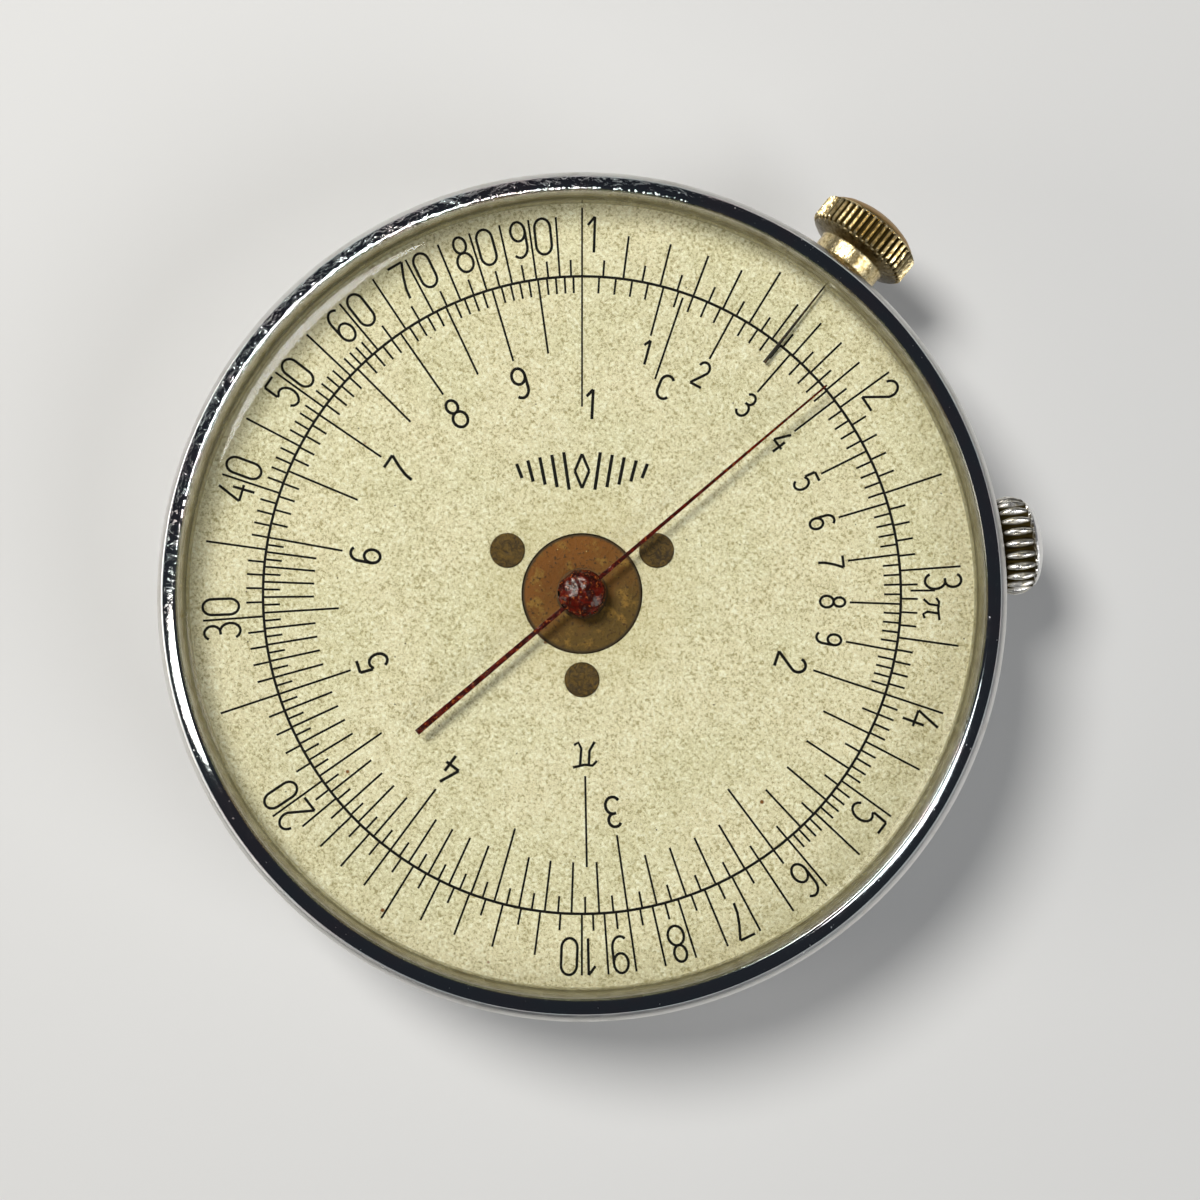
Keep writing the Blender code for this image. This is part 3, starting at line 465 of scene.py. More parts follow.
boss_brass.relief(0.5 * boss_fine + 0.5 * boss_cloud, 0.05)
fitted(softened(boss_face, 0.012, 1), boss_brass, "aged_brass", "dial")

# Three brass rivets hold the dial on the flange of its wheel. Flat heads with broken edges, set
# by hand, brown and scratched.
rivet_metal = Finish("brown_rivet", metallic=0.2, specular_ior_level=0.3)
rivet_scratch = rivet_metal.noise(2.5, 5.0, 0.75, 1.2)
rivet_metal.feed(base_color=rivet_metal.mix(rivet_scratch.step(0.38, 0.62),
                                            (0.026, 0.014, 0.002), (0.120, 0.066, 0.008)),
                 roughness=0.35 + 0.3 * rivet_scratch)
rivet_metal.relief(rivet_scratch, 0.09)
head_foot = dial_top + 0.02
head_top = top("dial_rivet_1")
tail_foot = foot("dial_rivet_1")
rivet = turned("rivet_1", [
    (0.45, tail_foot), (0.67, tail_foot + 0.06), (0.67, tail_foot + 0.24), (0.45, tail_foot + 0.25),
    (0.45, head_foot), (1.00, head_foot), (1.02, head_foot + 0.03), (0.95, head_top - 0.015),
    (0.80, head_top), (0.40, head_top), (0.0, head_top)], 48, ring=False)
softened(rivet)


def three_of(piece, name):
    """A piece and two copies of it, each with a mesh of its own."""
    pieces = [piece, piece.copy(), piece.copy()]
    for number, made in enumerate(pieces):
        if number:
            made.data = piece.data.copy()
            bpy.context.scene.collection.objects.link(made)
            made.name = "%s_%d" % (name, number + 1)
    return pieces


for number, piece in enumerate(three_of(rivet, "rivet")):
    turn = Matrix.Rotation(math.radians(UNIT_LINE + 180.0 + 120.0 * number), 4, "Z")
    moved(piece, turn @ Matrix.Translation((RIVET_CIRCLE * MM, 0, 0)))
    fitted(piece, rivet_metal, "aged_brass", "dial", "dial_rivet_%d" % (number + 1))

# Printing on the front dial: a circle with a logarithmic scale of squares from 1 to 100 outside
# it and one of numbers from 1 to 10 inside it, with their figures and gauge marks. Black
# transfer ink, a little raised, in the narrow rounded hand of an engraver.
UNIT = 18.59             # radius of the scale circle
INK_DEPTH = 0.008
INK_WIDTH = 0.125
CIRCLE_STEPS = 240


def bow(x, y, across, up, start, end, steps=12):
    """Points along the edge of an oval, from one angle to another, in degrees."""
    points = []
    for step in range(steps + 1):
        angle = math.radians(start + (end - start) * step / steps)
        points.append((x + across * math.cos(angle), y + up * math.sin(angle)))
    return points


SIX = [bow(0.02, 0.70, 0.46, 0.30, 48, 180) + bow(-0.02, 0.27, 0.42, 0.27, 180, 540, 20)]
FIGURES = {
    "0": [bow(0, 0.74, 0.46, 0.26, 0, 180) + bow(0, 0.26, 0.46, 0.26, 180, 360) + [(0.46, 0.74)]],
    "1": [[(-0.30, 0.76), (0.10, 1.0)], [(0.10, 1.0), (0.10, 0.0)]],
    "2": [bow(0, 0.74, 0.44, 0.26, 168, -28) + [(-0.46, 0.0)], [(-0.48, 0.0), (0.50, 0.0)]],
    "3": [bow(-0.02, 0.775, 0.40, 0.225, 150, -75), [(-0.16, 0.55), (0.10, 0.56)],
          bow(0, 0.28, 0.46, 0.28, 78, -150)],
    "4": [[(0.08, 1.0), (-0.48, 0.34)], [(-0.48, 0.34), (0.50, 0.34)], [(0.24, 0.62), (0.24, 0.0)]],
    "5": [[(0.44, 1.0), (-0.34, 1.0)], [(-0.34, 1.0), (-0.38, 0.56)],
          [(-0.38, 0.56)] + bow(0, 0.31, 0.46, 0.31, 128, -145)],
    "6": SIX,
    "7": [[(-0.46, 1.0), (0.48, 1.0)], [(0.48, 1.0), (0.14, 0.60), (-0.06, 0.28), (-0.12, 0.0)]],
    "8": [bow(0, 0.77, 0.36, 0.23, -90, 270, 20), bow(0, 0.27, 0.46, 0.27, 90, 450, 20)],
    "9": [[(-x, 1.0 - y) for x, y in stroke] for stroke in SIX],
    "C": [bow(0, 0.68, 0.46, 0.32, 35, 180) + bow(0, 0.32, 0.46, 0.32, 180, 325)],
    "pi": [[(-0.50, 0.74), (-0.32, 0.92), (0.0, 0.88), (0.50, 0.98)],
           [(-0.16, 0.90), (-0.20, 0.35), (-0.42, 0.0)],
           [(0.20, 0.92), (0.14, 0.25), (0.26, 0.02), (0.44, 0.12)]],
    "S": [bow(0, 0.76, 0.42, 0.24, 30, 250) + bow(0, 0.26, 0.44, 0.26, 80, -150)],
    "T": [[(-0.48, 1.0), (0.48, 1.0)], [(0.0, 1.0), (0.0, 0.0)]],
}


class Print:
    """The ink on one face of the rule. Angles are degrees clockwise from the unit line."""

    def __init__(self, unit_line, clockwise):
        self.unit_line = unit_line
        self.clockwise = clockwise
        self.strokes = []

    def at(self, turn, radius, across=0.0):
        angle = math.radians(self.unit_line - self.clockwise * turn)
        across *= self.clockwise
        return (radius * math.cos(angle) + across * math.sin(angle),
                radius * math.sin(angle) - across * math.cos(angle))

    def mark(self, turn, inner, outer, width=INK_WIDTH):
        self.strokes.append(([self.at(turn, inner), self.at(turn, outer)], width))

    def circle(self, radius, width):
        self.strokes.append(([self.at(step * 360.0 / CIRCLE_STEPS, radius)
                              for step in range(CIRCLE_STEPS)], width))

    def figure(self, name, turn, radius, tall, wide, width):
        """A figure with its top outwards, its middle at a radius."""
        for stroke in FIGURES[name]:
            self.strokes.append(([self.at(turn, radius + (y - 0.5) * tall, x * wide)
                                  for x, y in stroke], width))

    def made(self, name, height):
        """All strokes as one flat raised piece on a face at this height."""
        drawing = bpy.data.curves.new(name, "CURVE")
        drawing.dimensions = "3D"
        drawing.bevel_depth = MM / 2
        drawing.bevel_resolution = 1
        drawing.use_fill_caps = True
        for points, width in self.strokes:
            spline = drawing.splines.new("POLY")
            spline.points.add(len(points) - 1)
            spline.use_cyclic_u = len(points) == CIRCLE_STEPS
            for place, (x, y) in zip(spline.points, points):
                place.co = (x * MM, y * MM, 0.0, 1.0)
                place.radius = width
        piece = bpy.data.objects.new(name, drawing)
        bpy.context.scene.collection.objects.link(piece)
        select_only(piece)
        bpy.ops.object.convert(target="MESH")
        thin = Matrix.Diagonal((1.0, 1.0, 2 * INK_DEPTH / INK_WIDTH, 1.0))
        moved(piece, Matrix.Translation((0, 0, height * MM)) @ thin)
        bpy.ops.object.mode_set(mode="EDIT")
        bpy.ops.mesh.select_all(action="SELECT")
        bpy.ops.mesh.normals_make_consistent(inside=False)
        bpy.ops.object.mode_set(mode="OBJECT")
        return piece


# Each stretch of a scale: from, to, divisions in each whole number, and of those, how many make
# a medium and a long mark.
SQUARES = ((1, 2, 20, 2, 10), (2, 6, 10, 0, 5), (6, 10, 4, 0, 2))
NUMBERS = ((1, 2, 50, 5, 0), (2, 6, 20, 2, 10), (6, 10, 10, 0, 5))


def ruled(page, stretches, full_turn, first_turn, base, lengths):
    """Marks of one decade of a logarithmic scale, from the circle at base to each length."""
    for start, end, parts, medium, long in stretches:
        for count in range((end - start) * parts):
            value = start + count / parts
            reached = lengths[0]
            if medium and count % medium == 0:
                reached = lengths[1]
            if long and count % long == 0:
                reached = lengths[2]
            turn = first_turn + full_turn * math.log10(value)
            if turn > 0.0:
                page.mark(turn, base * UNIT, reached * UNIT)


lines = Print(UNIT_LINE, 1)
lines.circle(UNIT, 0.16)
for decade in (0, 1):
    ruled(lines, SQUARES, 180.0, 180.0 * decade, 1.0, (1.053, 1.137, 1.191))
ruled(lines, NUMBERS, 360.0, 0.0, 1.0, (0.947, 0.840, 0.763))
lines.mark(0.0, 0.588 * UNIT, 1.218 * UNIT, 0.11)
lines.mark(18.8, 0.713 * UNIT, 0.985 * UNIT)
lines.mark(178.97, 0.571 * UNIT, 0.855 * UNIT)
lines.mark(89.5, 1.03 * UNIT, 1.107 * UNIT)
figures = Print(UNIT_LINE, 1)
SQUARE_FIGURES = (1.133 * UNIT, 2.12, 1.00, 0.16)
TENTH_FIGURES = (0.786 * UNIT, 1.46, 0.74, 0.16)
WHOLE_FIGURES = (0.690 * UNIT, 1.75, 0.92, 0.18)
for value in range(1, 10):
    turn = 180.0 * math.log10(value)
    figures.figure(str(value), turn + (1.7 if value == 1 else 2.1), *SQUARE_FIGURES)
    figures.figure(str(value), turn + 180.0 - (1.3 if value == 1 else 1.95), *SQUARE_FIGURES)
    figures.figure("0", turn + 182.0, *SQUARE_FIGURES)
    figures.figure(str(value), 360.0 * math.log10(1 + value / 10), *TENTH_FIGURES)
    if value > 1:
        figures.figure(str(value), 360.0 * math.log10(value), *WHOLE_FIGURES)
figures.figure("1", 2.7, 0.596 * UNIT, *WHOLE_FIGURES[1:])
figures.figure("C", 22.0, 0.700 * UNIT, 1.40, 0.84, 0.17)
figures.figure("pi", 179.0, 0.505 * UNIT, 1.50, 1.40, 0.16)
figures.figure("pi", 92.5, 1.097 * UNIT, 1.00, 1.30, 0.15)

ink = Finish("black_ink", specular_ior_level=0.1)
ink_worn = ink.noise(5.0, 3.0, 0.6)
ink.feed(base_color=ink.mix(ink_worn.step(0.55, 0.85), (0.004, 0.004, 0.004),
                            (0.030, 0.022, 0.012)), roughness=0.50 + 0.3 * ink_worn)
ink.relief(ink_worn, 0.01)
fitted(lines.made("scale_lines", dial_top), ink, "index_black", "dial")
fitted(figures.made("scale_figures", dial_top), ink, "index_black", "dial")

# Ornament above the boss: a plain lozenge between slanting strokes. Printed on the dial in the
# same ink, with the rest of the face.
ornament = Print(UNIT_LINE, 1)
ORNAMENT_AT = 0.385 * UNIT
for side in (-1, 1):
    for x, y in ((0.75, 1.10), (1.45, 0.95), (2.15, 0.80), (2.85, 0.62), (3.50, 0.42)):
        ornament.strokes.append(([ornament.at(0, ORNAMENT_AT - y, side * x),
                                  ornament.at(0, ORNAMENT_AT + y, side * (x + 0.32))], 0.20))
    ornament.strokes.append(([ornament.at(0, ORNAMENT_AT - 1.0, 0.0),
                              ornament.at(0, ORNAMENT_AT, side * 0.42)], 0.17))
    ornament.strokes.append(([ornament.at(0, ORNAMENT_AT, side * 0.42),
                              ornament.at(0, ORNAMENT_AT + 1.0, 0.0)], 0.17))
fitted(ornament.made("ornament", dial_top), ink, "index_black", "dial")

# Fixed index: a steel strip, blackened, let into a slot in the neck of the case at 12 o'clock.
# It hangs over the dial's edge, fine outside and thickest at its blunt inner end.
INDEX_END = 17.15
INDEX_WIDTHS = (0.21, 0.08)


def blade(name, inner_end, outer_end, inner_width, outer_width, low, high):
    """A tapered strip along the 12 o'clock line: a block with one end drawn in."""
    bpy.ops.object.select_all(action="DESELECT")
    bpy.ops.mesh.primitive_cube_add(size=1.0, location=(0, (inner_end + outer_end) * MM / 2,
                                                        (low + high) * MM / 2),
                                    scale=(inner_width * MM, (outer_end - inner_end) * MM,
                                           (high - low) * MM))
    piece = bpy.context.object
    piece.name = name
    bpy.ops.object.transform_apply(location=True, scale=True)
    bpy.ops.object.mode_set(mode="EDIT")
    bpy.ops.mesh.select_all(action="DESELECT")
    bpy.ops.object.mode_set(mode="OBJECT")
    middle = (inner_end + outer_end) * MM / 2
    for corner in piece.data.vertices:
        corner.select = corner.co.y > middle
    bpy.ops.object.mode_set(mode="EDIT")
    bpy.ops.transform.resize(value=(outer_width / inner_width, 1, 1), center_override=(0, 0, 0))
    bpy.ops.object.mode_set(mode="OBJECT")
    return piece


index = blade("index_blade", INDEX_END, neck_radius - GAP, *INDEX_WIDTHS, foot("fixed_index"),
              top("fixed_index"))
softened(index, 0.025)
black_steel = Finish("blackened_steel", specular_ior_level=0.2)
black_rub = black_steel.noise(2.2, 4.0, 0.65)
black_steel.feed(base_color=black_steel.mix(black_rub.step(0.48, 0.66), (0.012, 0.010, 0.008),
                                            (0.060, 0.034, 0.014)),
                 roughness=0.30 + 0.25 * black_rub)
black_steel.relief(black_rub, 0.02)
fitted(index, black_steel, "index_black", "case", "fixed_index")

# Hands: one needle on each face, on one arbor. Stamped steel in dark red lacquer that has pooled and
# cracked, with orange-brown patches painted in as glints. The needle is fine at its tip.
HAND_TURN = -11.4        # degrees anticlockwise from 12 o'clock, at rest
HAND_TIP = 18.60
HAND_TAIL = 12.45
HAND_WIDTHS = (0.36, 0.12)
BOSS_RADIUS = 1.10
lacquer = Finish("dark_red_lacquer", specular_ior_level=0.28)
lacquer_pool = lacquer.noise(1.9, 4.0, 0.65, 0.8)
# Painted glints: orange-brown patches in the lacquer's colour stand in for glints of light on the
# gloss.
lacquer_painted_glints = lacquer.noise(5.0, 3.0, 0.6).step(0.56, 0.68)
lacquer_red = lacquer.mix(lacquer_pool.step(0.42, 0.66), (0.022, 0.001, 0.001),
                          (0.105, 0.004, 0.001))
lacquer.feed(base_color=lacquer.mix(lacquer_painted_glints, lacquer_red, (0.30, 0.065, 0.012)),
             roughness=0.12 + 0.14 * lacquer_pool)
lacquer.relief(lacquer_pool, 0.04)
hand_turn = Matrix.Rotation(math.radians(HAND_TURN), 4, "Z")
boss_foot = foot("front_hand")
boss_head = top("front_hand")
for side in ("front", "rear"):
    low, high = boss_foot, boss_head
    if side == "rear":
        low, high = 2 * MIDDLE - boss_head, 2 * MIDDLE - boss_foot
    needle = blade(side + "_needle", -HAND_TAIL, HAND_TIP, *HAND_WIDTHS, low + GAP, high - GAP)
    disc = turned("disc", [(0.5, low), (BOSS_RADIUS, low), (BOSS_RADIUS, high), (0.5, high)], 64)
    combined(needle, disc, "UNION")
    softened(needle, 0.02)
    fitted(moved(needle, hand_turn), lacquer, "hand_red", "hands", side + "_hand")

# Hubs: brass caps pressed on the ends of the arbor over the hands, dipped in the same lacquer,
# which has set in lumps.
HUB_RADIUS = 1.40
lumps = bpy.data.textures.new("lacquer_lumps", "CLOUDS")
lumps.noise_scale = 0.70 * MM
lumps.noise_depth = 2
hub_foot, hub_top = foot("front_hand_hub"), top("front_hand_hub")
for side in ("front", "rear"):
    bpy.ops.object.select_all(action="DESELECT")
    bpy.ops.mesh.primitive_uv_sphere_add(segments=64, ring_count=48, radius=HUB_RADIUS * MM)
    hub = bpy.context.object
    hub.name = side + "_hub_cap"
    bpy.ops.object.mode_set(mode="EDIT")
    bpy.ops.mesh.select_all(action="SELECT")
    bpy.ops.transform.resize(value=(1, 1, 1.12 * (hub_top - hub_foot) / HUB_RADIUS),
                             center_override=(0, 0, 0))
    bpy.ops.mesh.bisect(plane_co=(0, 0, 0.10 * MM), plane_no=(0, 0, 1), clear_inner=True,
                        use_fill=True)
    bpy.ops.object.mode_set(mode="OBJECT")
    bump = hub.modifiers.new("lumps", "DISPLACE")
    bump.texture = lumps
    bump.strength = 0.24 * MM
    bump.mid_level = 0.62
    apply_last(hub)
    place = Matrix.Translation((0, 0, (hub_foot - 0.08) * MM))
    if side == "rear":
        place = Matrix.Translation((0, 0, 2 * MIDDLE * MM)) @ Matrix.Rotation(
            math.pi, 4, "X") @ place
    fitted(softened(moved(hub, place)), lacquer, "hand_red", "hands", side + "_hand_hub")

# Rear dial: fixed, held by three slotted screws, in the same paint. A turned brass bush in its
# middle carries the arbor.
rear_foot, rear_top = foot("rear_dial"), top("rear_dial")
rear_dial = turned("rear_dial_plate", [(1.35, rear_foot), (dial_radius, rear_foot),
                                       (dial_radius, rear_top), (1.35, rear_top)], FINE)
fitted(softened(rear_dial, 0.03), dial_paint, "dial_face", "case", "rear_dial")
bush_low = foot("rear_bush")
bush = turned("rear_bush_flange", [(0.78, rear_top), (0.78, bush_low), (2.0, bush_low),
                                   (2.0, rear_foot - GAP), (1.30, rear_foot - GAP),
                                   (1.30, rear_top)], 96)
fitted(softened(bush, 0.05), brass, "plate_brass", "case", "rear_bush")
screw_circle = plate_bore - LEDGE / 2
screw_low, screw_high = foot("rear_dial_screw_1"), top("rear_dial_screw_1")
screw = turned("rear_screw_1", [(0.50, screw_low), (0.65, screw_low + 0.06),
                                (0.65, rear_foot - GAP), (0.40, rear_foot - GAP),
                                (0.40, screw_high)], 48, ring=False)
bpy.ops.object.select_all(action="DESELECT")
bpy.ops.mesh.primitive_cube_add(size=1.0, location=(0, 0, screw_low * MM),
                                scale=(2 * MM, 0.20 * MM, 0.24 * MM))
combined(screw, bpy.context.object)
softened(screw, 0.02)
for number, piece in enumerate(three_of(screw, "rear_screw")):
    turn = Matrix.Rotation(math.radians(90.0 + 120.0 * number), 4, "Z")
    own_turn = Matrix.Rotation(math.radians(35.0 + 50.0 * number), 4, "Z")
    moved(piece, turn @ Matrix.Translation((screw_circle * MM, 0, 0)) @ own_turn)
    fitted(piece, steel, "steel", "case", "rear_dial_screw_%d" % (number + 1))

# Printing on the rear dial: a number scale on the circle, with sines and tangents in degrees on
# two rings inside it.
back = Print(90.0, -1)
back.circle(UNIT, 0.15)
ruled(back, NUMBERS, 360.0, 0.0, 1.0, (1.053, 1.100, 1.150))
back.mark(0.0, 0.50 * UNIT, 1.19 * UNIT)
for value in range(1, 10):
    back.figure(str(value), 360.0 * math.log10(value) + (1.7 if value == 1 else 0.0),
                1.19 * UNIT if value > 1 else 1.15 * UNIT, 1.0, 0.60, 0.12)
RINGS = (("S", 0.84, math.sin, 90, (6, 7, 8, 9, 10, 15, 20, 30, 40, 50, 60, 90)),
         ("T", 0.62, math.tan, 45, (6, 7, 8, 9, 10, 15, 20, 25, 30, 35, 40, 45)))
for letter, ring, function, last, named in RINGS:
    back.circle(ring * UNIT, 0.11)
    back.figure(letter, -4.0, (ring - 0.045) * UNIT, 1.1, 0.60, 0.14)
    for half in range(12, 2 * last + 1):
        degrees = half / 2
        if degrees > 20 and half % 2 or degrees > 50 and half % 10:
            continue
        turn = 360.0 * math.log10(10 * function(math.radians(degrees)))
        long = 0.045 if half % 2 == 0 else 0.028
        back.mark(turn, ring * UNIT, (ring + long) * UNIT)
    for degrees in named:
        turn = 360.0 * math.log10(10 * function(math.radians(degrees)))
        text = str(degrees)
        for place, letter_shape in enumerate(text):
            shift = (place - (len(text) - 1) / 2) * math.degrees(0.78 / (ring * UNIT))
            back.figure(letter_shape, turn + shift, (ring - 0.048) * UNIT, 1.0, 0.55, 0.12)
fitted(back.made("rear_scale", rear_foot), ink, "index_black", "case")

# Bezels: snap rings that hold the crystals down on their seals. Turned and polished, with a
# straight slope, a rounded lip round the crystal, scratches, and dents where the case was opened.
BEZEL_WALL = 0.30
LIP_REACH = 0.65
BEZEL_SLOPE = 0.52
bezel_radius = reach("front_bezel")
bezel_foot, lip_top = foot("front_bezel"), top("front_bezel")
bezel_bore = bezel_radius - BEZEL_WALL
lip_radius = bezel_bore - LIP_REACH
lip_foot = lip_top - 0.55
bezel = [(bezel_bore, bezel_foot), (bezel_radius, bezel_foot),
         (bezel_radius, lip_top - BEZEL_SLOPE), (bezel_radius - 0.08, lip_top - BEZEL_SLOPE + 0.10),
         (lip_radius + 0.24, lip_top - 0.03), (lip_radius + 0.14, lip_top),
         (lip_radius + 0.04, lip_top - 0.02), (lip_radius, lip_top - 0.10),
         (lip_radius, lip_foot), (bezel_bore, lip_foot)]
chrome = Finish("polished_plating", metallic=1.0)
chrome_fine = chrome.noise(2.2, 5.0, 0.7)
chrome_dents = chrome.noise(1.7, 3.0, 0.6, 1.6)
worn_side = (chrome.side(0) * -0.035 + chrome.side(1) * 0.012 + 0.12).step(0.45, 0.95)
chrome_stain = chrome.noise(0.22, 3.0, 0.6)
chrome_pits = chrome.specks(2.6, 0.16, 0.22)
chrome_colour = chrome.mix(chrome_stain.step(0.40, 0.66), (0.58, 0.64, 0.65), (0.68, 0.61, 0.62))
chrome.feed(base_color=chrome_colour,
            roughness=0.07 + 0.12 * chrome_fine.step(0.5, 0.8) + 0.25 * chrome_pits)
chrome.relief((0.05 + 0.95 * worn_side) * chrome_dents + 0.03 * chrome_fine
              - 0.30 * chrome_pits * (0.1 + worn_side), 0.080)
for side, profile in (("front", bezel), ("rear", rear(bezel))):
    fitted(softened(turned(side + "_bezel_ring", profile, 256), 0.03, crease=40.0), chrome,
           "case_metal", "case", side + "_bezel")

# Crystals: pressed acrylic, clear on the flat, with a rounded shoulder, an upright wall and a
# foot under the bezel's lip. The wall has yellowed and pipes the light, so it reads as an olive
# band round the dial.
CRYSTAL_WALL = 0.50
FLAT_THICKNESS = 0.90
SHOULDER = 1.60          # how far the rounded shoulder reaches inwards
SHOULDER_DROP = 1.33
crystal_top, crystal_foot = top("front_crystal"), foot("front_crystal")
wall = lip_radius - GAP
flat = wall - SHOULDER
foot_top = crystal_foot + 0.40
crystal = [(flat - 0.3, crystal_top), (flat, crystal_top)]
for radius, height in bow(flat, crystal_top - SHOULDER_DROP, SHOULDER, SHOULDER_DROP, 80,
                          0, 8):
    crystal.append((radius, height))
crystal += [(wall, foot_top), (neck_radius, foot_top), (neck_radius, crystal_foot),
            (wall - CRYSTAL_WALL, crystal_foot), (wall - CRYSTAL_WALL, lip_top),
            (flat + 0.25 * SHOULDER, crystal_top - FLAT_THICKNESS),
            (flat - 0.3, crystal_top - FLAT_THICKNESS)]
acrylic = Finish("clear_acrylic", roughness=0.08)
haze = acrylic.noise(1.2, 4.0, 0.7)
band = acrylic.reach().step(wall - CRYSTAL_WALL - 0.25, wall - CRYSTAL_WALL + 0.15)
acrylic.feed(base_color=acrylic.mix(haze.step(0.35, 0.65), (0.24, 0.20, 0.085),
                                    (0.46, 0.42, 0.24)))
seen_through = acrylic.node("ShaderNodeMixShader", {}, {
    0: band * 0.50 + 0.004, 1: acrylic.node("ShaderNodeBsdfTransparent", {}, {
        0: (0.985, 0.988, 0.965)}), 2: Tone(acrylic, acrylic.surface.outputs[0])})
shine = acrylic.node("ShaderNodeBsdfGlossy", {}, {"Roughness": 0.04})
grazing = acrylic.node("ShaderNodeLayerWeight", {}, {0: 0.5}, "Facing")
covered = acrylic.node("ShaderNodeMixShader", {}, {
    0: 0.012 + 0.6 * grazing.worked("POWER", grazing, 5.0), 1: seen_through, 2: shine})
acrylic.tree.links.new(covered.socket, acrylic.tree.nodes["Material Output"].inputs[0])
for side, profile in (("front", crystal), ("rear", rear(crystal))):
    fitted(softened(turned(side + "_crystal_glass", profile, FINE, ring=False), 0.03, 1, 50.0),
           acrylic, "crystal", "case", side + "_crystal")

# The dial's crown: a knurled disc on a smooth neck with a low dome. Turned from brass, once
# plated and now worn through, bright on the ridges and brown in the grooves.
RIDGES = 46
RIDGE_DEPTH = 0.26
crown_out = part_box("dial_crown")[1].y / MM
crown_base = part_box("dial_crown")[0].y / MM


def knurled(piece, ridges, depth, shape, low, high, inner):
    """Sink grooves into a turned crown, between two heights and outside a radius. The shape
    gives the share of the depth at each step across one ridge."""
    steps = len(shape)
    for phase, share in enumerate(shape):
        if share == 0.0:
            continue
        bpy.ops.object.mode_set(mode="EDIT")
        bpy.ops.mesh.select_mode(type="VERT")
        bpy.ops.mesh.select_all(action="DESELECT")
        bpy.ops.object.mode_set(mode="OBJECT")
        for corner in piece.data.vertices:
            turn = math.atan2(corner.co.y, corner.co.x) / (2 * math.pi) * ridges * steps
            corner.select = (round(turn) % steps == phase and corner.co.xy.length > inner * MM
                             and low * MM < corner.co.z < high * MM)
        bpy.ops.object.mode_set(mode="EDIT")
        size = 1.0 - share * depth / (inner + 0.1)
        bpy.ops.transform.resize(value=(size, size, 1), center_override=(0, 0, 0))
        bpy.ops.object.mode_set(mode="OBJECT")


def crown_finish(name, degrees, ridge_radius, depth, bright, grooved, dirt_and_shade, cap, grip):
    """Worn metal on a crown: bright on its ridges, dirty in its grooves, with a colour of its own on
    the cap, and painted shade in a band just under the grip. grip is the stretch along the knob's
    axis that is knurled."""
    metal = Finish(name, centre=(0.0, 0.0, MIDDLE), turn=math.radians(degrees), metallic=1.0)
    along, across, upward = (metal.side(number) for number in range(3))
    out = metal.node("ShaderNodeMath", {"operation": "SQRT"}, {0: across * across
                                                               + upward * upward})
    rub = metal.noise(3.0, 4.0, 0.65)
    groove = 1 - (out + 0.04 * rub).step(ridge_radius - 0.75 * depth, ridge_radius - 0.05)
    knurl = groove * along.step(grip[0], grip[0] + 0.1) * (1 - along.step(grip[1] - 0.1, grip[1]))
    colour = metal.mix(rub.step(0.42, 0.68), bright, grooved)
    domed = along.step(grip[1] + 0.02, grip[1] + 0.12)
    colour = metal.mix(domed, colour, cap)
    # Painted shade: a band just under the grip is darkened towards the groove dirt colour, standing
    # in for the shadow beneath the grip.
    under = along.step(grip[0] - 0.40, grip[0] - 0.30) * (1 - along.step(grip[0], grip[0] + 0.10))
    colour = metal.mix(0.75 * under, colour, dirt_and_shade)
    metal.feed(base_color=metal.mix(knurl, colour, dirt_and_shade),
               roughness=0.20 + 0.18 * rub + 0.35 * knurl + 0.12 * domed)
    metal.relief(rub, 0.05)
    return metal


radius = dial_crown_radius
dome = crown_out - 0.95
crown = turned("dial_crown_knob", [
    (1.10, crown_base + 0.40), (1.10, crown_base), (2.02, crown_base), (2.15, crown_base + 0.12),
    (2.15, crown_base + 0.98), (2.20, crown_base + 1.10), (2.34, crown_base + 1.17),
    (radius - 0.50, crown_base + 1.28), (radius - 0.26, crown_base + 1.42),
    (radius, crown_base + 1.66), (radius, crown_base + 1.74),
    (radius, dome - 0.18), (radius, dome - 0.12), (radius - 0.18, dome), (radius - 0.34, dome + 0.03),
    (radius - 0.40, dome + 0.16), (radius * 0.75, dome + 0.45), (radius * 0.55, dome + 0.70),
    (radius * 0.35, dome + 0.86), (radius * 0.15, dome + 0.94), (0.0, crown_out)], RIDGES * 6,
    ring=False)
knurled(crown, RIDGES, RIDGE_DEPTH, (0.0, 0.35, 0.9, 1.0, 0.9, 0.35), crown_base + 1.44,
        dome + 0.01, radius - 0.30)
softened(crown)
crown_brass = crown_finish("worn_brass", DIAL_KNOB_TURN, radius, RIDGE_DEPTH, (0.84, 0.70, 0.40),
                           (0.36, 0.25, 0.09), (0.040, 0.026, 0.006), (0.38, 0.23, 0.075),
                           (crown_base + 1.44, dome + 0.02))
fitted(moved(crown, out_along(DIAL_KNOB_TURN)), crown_brass, "dial_crown_brass", "dial_knob",
       "dial_crown")

# The hands' crown: a round fluted button close to the band, nickel on brass, with a bright domed
# cap, and brown dirt between its flutes.
FLUTES = 24
FLUTE_DEPTH = 0.34
knob_line = Vector((1, 1)).normalized()
along_knob = [Vector(corner.co).xy.dot(knob_line) for corner in nodes["hand_crown"].data.vertices]
corner_out = max(along_knob) / MM
corner_in = min(along_knob) / MM
radius = hand_crown_radius
cap = corner_out - 0.90
button = turned("hand_crown_knob", [
    (1.10, corner_in + 0.40), (1.10, corner_in), (radius - 0.62, corner_in),
    (radius - 0.40, corner_in + 0.10), (radius - 0.20, corner_in + 0.34),
    (radius - 0.05, corner_in + 0.75), (radius, corner_in + 1.10), (radius - 0.04, corner_in + 1.45),
    (radius - 0.17, cap - 0.18), (radius - 0.30, cap), (radius - 0.42, cap + 0.10),
    (radius - 0.46, cap + 0.22), (radius * 0.74, cap + 0.44), (radius * 0.52, cap + 0.68),
    (radius * 0.24, cap + 0.85), (0.0, corner_out)], FLUTES * 10, ring=False)
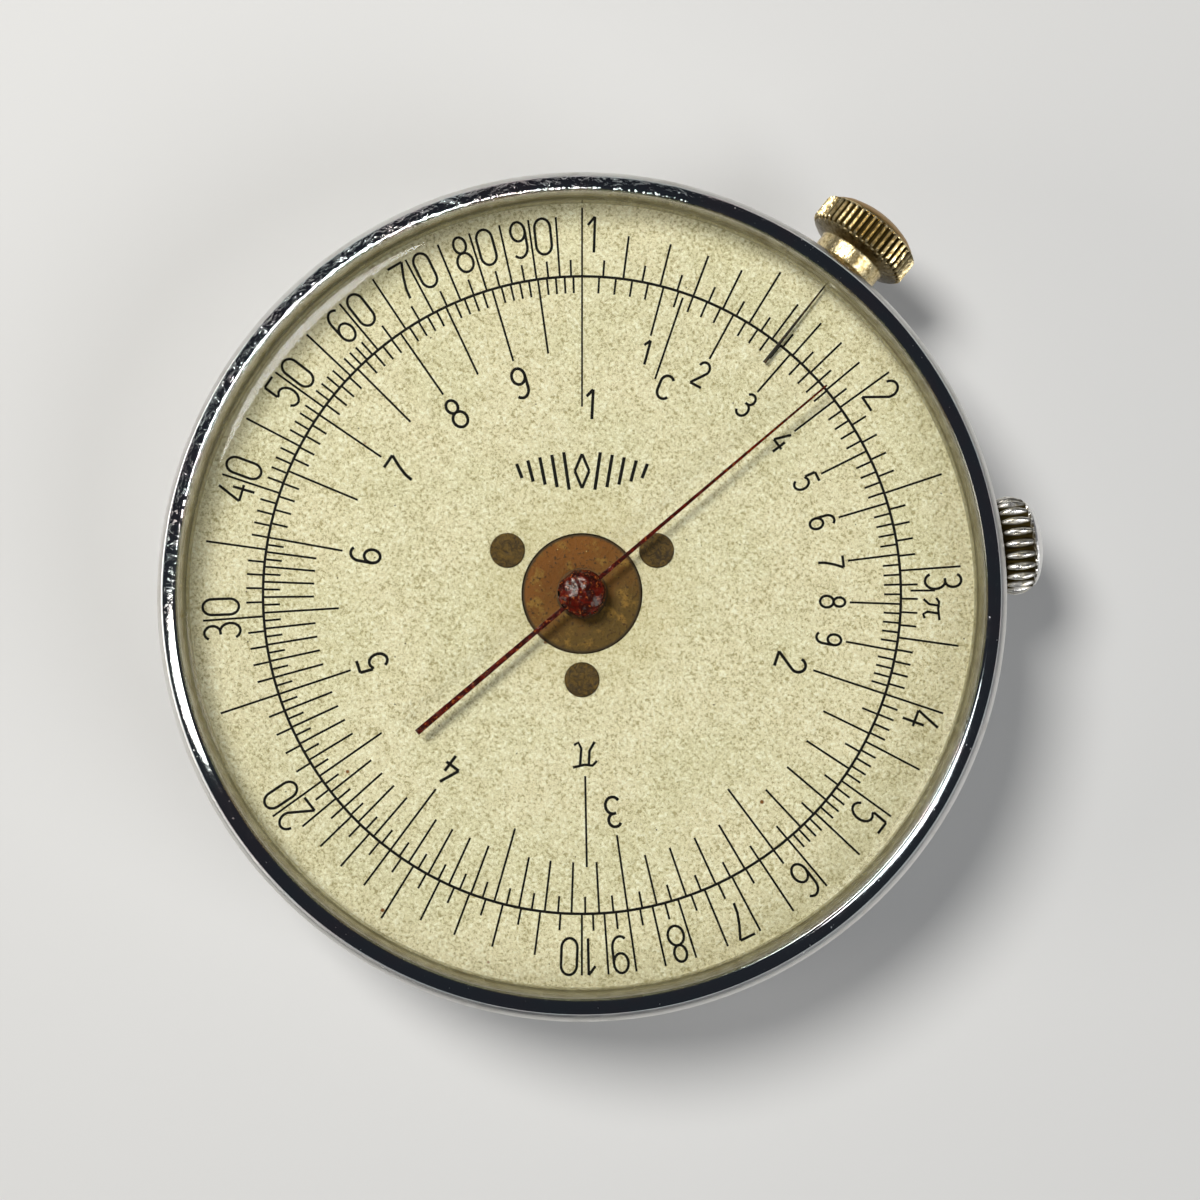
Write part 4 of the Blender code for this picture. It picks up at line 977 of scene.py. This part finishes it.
knurled(button, FLUTES, FLUTE_DEPTH, (0.0, 0.05, 0.25, 0.62, 0.92, 1.0, 0.92, 0.62, 0.25, 0.05),
        corner_in + 0.05, cap + 0.05, radius - 0.45)
softened(button)
nickel = crown_finish("worn_nickel", HAND_KNOB_TURN, radius - 0.06, FLUTE_DEPTH,
                      (0.88, 0.86, 0.81), (0.62, 0.57, 0.44), (0.045, 0.032, 0.008),
                      (0.90, 0.89, 0.87), (corner_in + 0.1, cap + 0.05))
fitted(moved(button, out_along(HAND_KNOB_TURN)), nickel, "hand_crown_nickel", "hand_knob",
       "hand_crown")

# Floor, camera and soft studio lights. The camera looks down on the dial from nearly overhead,
# with the unit line upright in the view.
FLOOR = 1.5
bpy.ops.object.select_all(action="DESELECT")
bpy.ops.mesh.primitive_plane_add(size=FLOOR, location=(0, 0, 0))
floor = bpy.context.object
floor.name = "studio_floor"
floor_finish = Finish("pale_floor", base_color=(0.62, 0.62, 0.61), roughness=0.85)
floor.data.materials.append(floor_finish.material)

view_up = Vector((math.cos(math.radians(UNIT_LINE)), math.sin(math.radians(UNIT_LINE)), 0.0))
view_right = Vector((view_up.y, -view_up.x, 0.0))
overhead = Vector((0.0, 0.0, 1.0))


def facing(right, up, tilt):
    """A direction that leans from straight overhead towards a side of the view."""
    lean = (right * view_right + up * view_up).normalized()
    return overhead * math.cos(math.radians(tilt)) + lean * math.sin(math.radians(tilt))


def aimed(item, direction, distance, target):
    """Hang a lamp or the camera out along a direction and point it at a target."""
    item.location = target + direction * distance
    item.rotation_mode = "QUATERNION"
    item.rotation_quaternion = direction.to_track_quat("Z", "Y")


def lamp(name, direction, distance, size, power, tint):
    light = bpy.data.lights.new(name, "AREA")
    light.shape = "DISK"
    light.size = size
    light.energy = power
    light.color = tint
    item = bpy.data.objects.new(name, light)
    bpy.context.scene.collection.objects.link(item)
    aimed(item, direction, distance, Vector((0, 0, dial_top * MM)))


lamp("key_light", facing(-0.7, 0.7, 30.0), 0.32, 0.12, 1.02, (1.0, 0.985, 0.96))
lamp("fill_light", facing(0.8, -0.5, 48.0), 0.35, 0.20, 0.51, (0.97, 0.98, 1.0))
lamp("side_light", facing(-1.0, -0.2, 66.0), 0.35, 0.12, 0.24, (1.0, 0.96, 0.90))
world = bpy.data.worlds.new("studio")
world.use_nodes = True
world.node_tree.nodes["Background"].inputs[0].default_value = (0.022, 0.024, 0.030, 1.0)
bpy.context.scene.world = world

VIEW_WIDTH = 69.931      # how much of the dial's plane the view takes in
camera = bpy.data.cameras.new("camera")
camera.lens = 58.5
camera.sensor_width = 36.0
camera.clip_start = 0.005
camera_item = bpy.data.objects.new("camera", camera)
bpy.context.scene.collection.objects.link(camera_item)
aim = (Vector((0, 0, dial_top)) + 1.05 * view_right - 0.38 * view_up) * MM
view_line = facing(0.0, -1.0, 1.8)
distance = camera.lens / camera.sensor_width * VIEW_WIDTH * MM
camera_item.location = aim + view_line * distance
side = view_up.cross(view_line).normalized()
turn = Matrix((side, view_line.cross(side), view_line)).transposed()
camera_item.rotation_mode = "QUATERNION"
camera_item.rotation_quaternion = turn.to_quaternion()
bpy.context.scene.camera = camera_item
bpy.context.scene.view_settings.view_transform = "Standard"
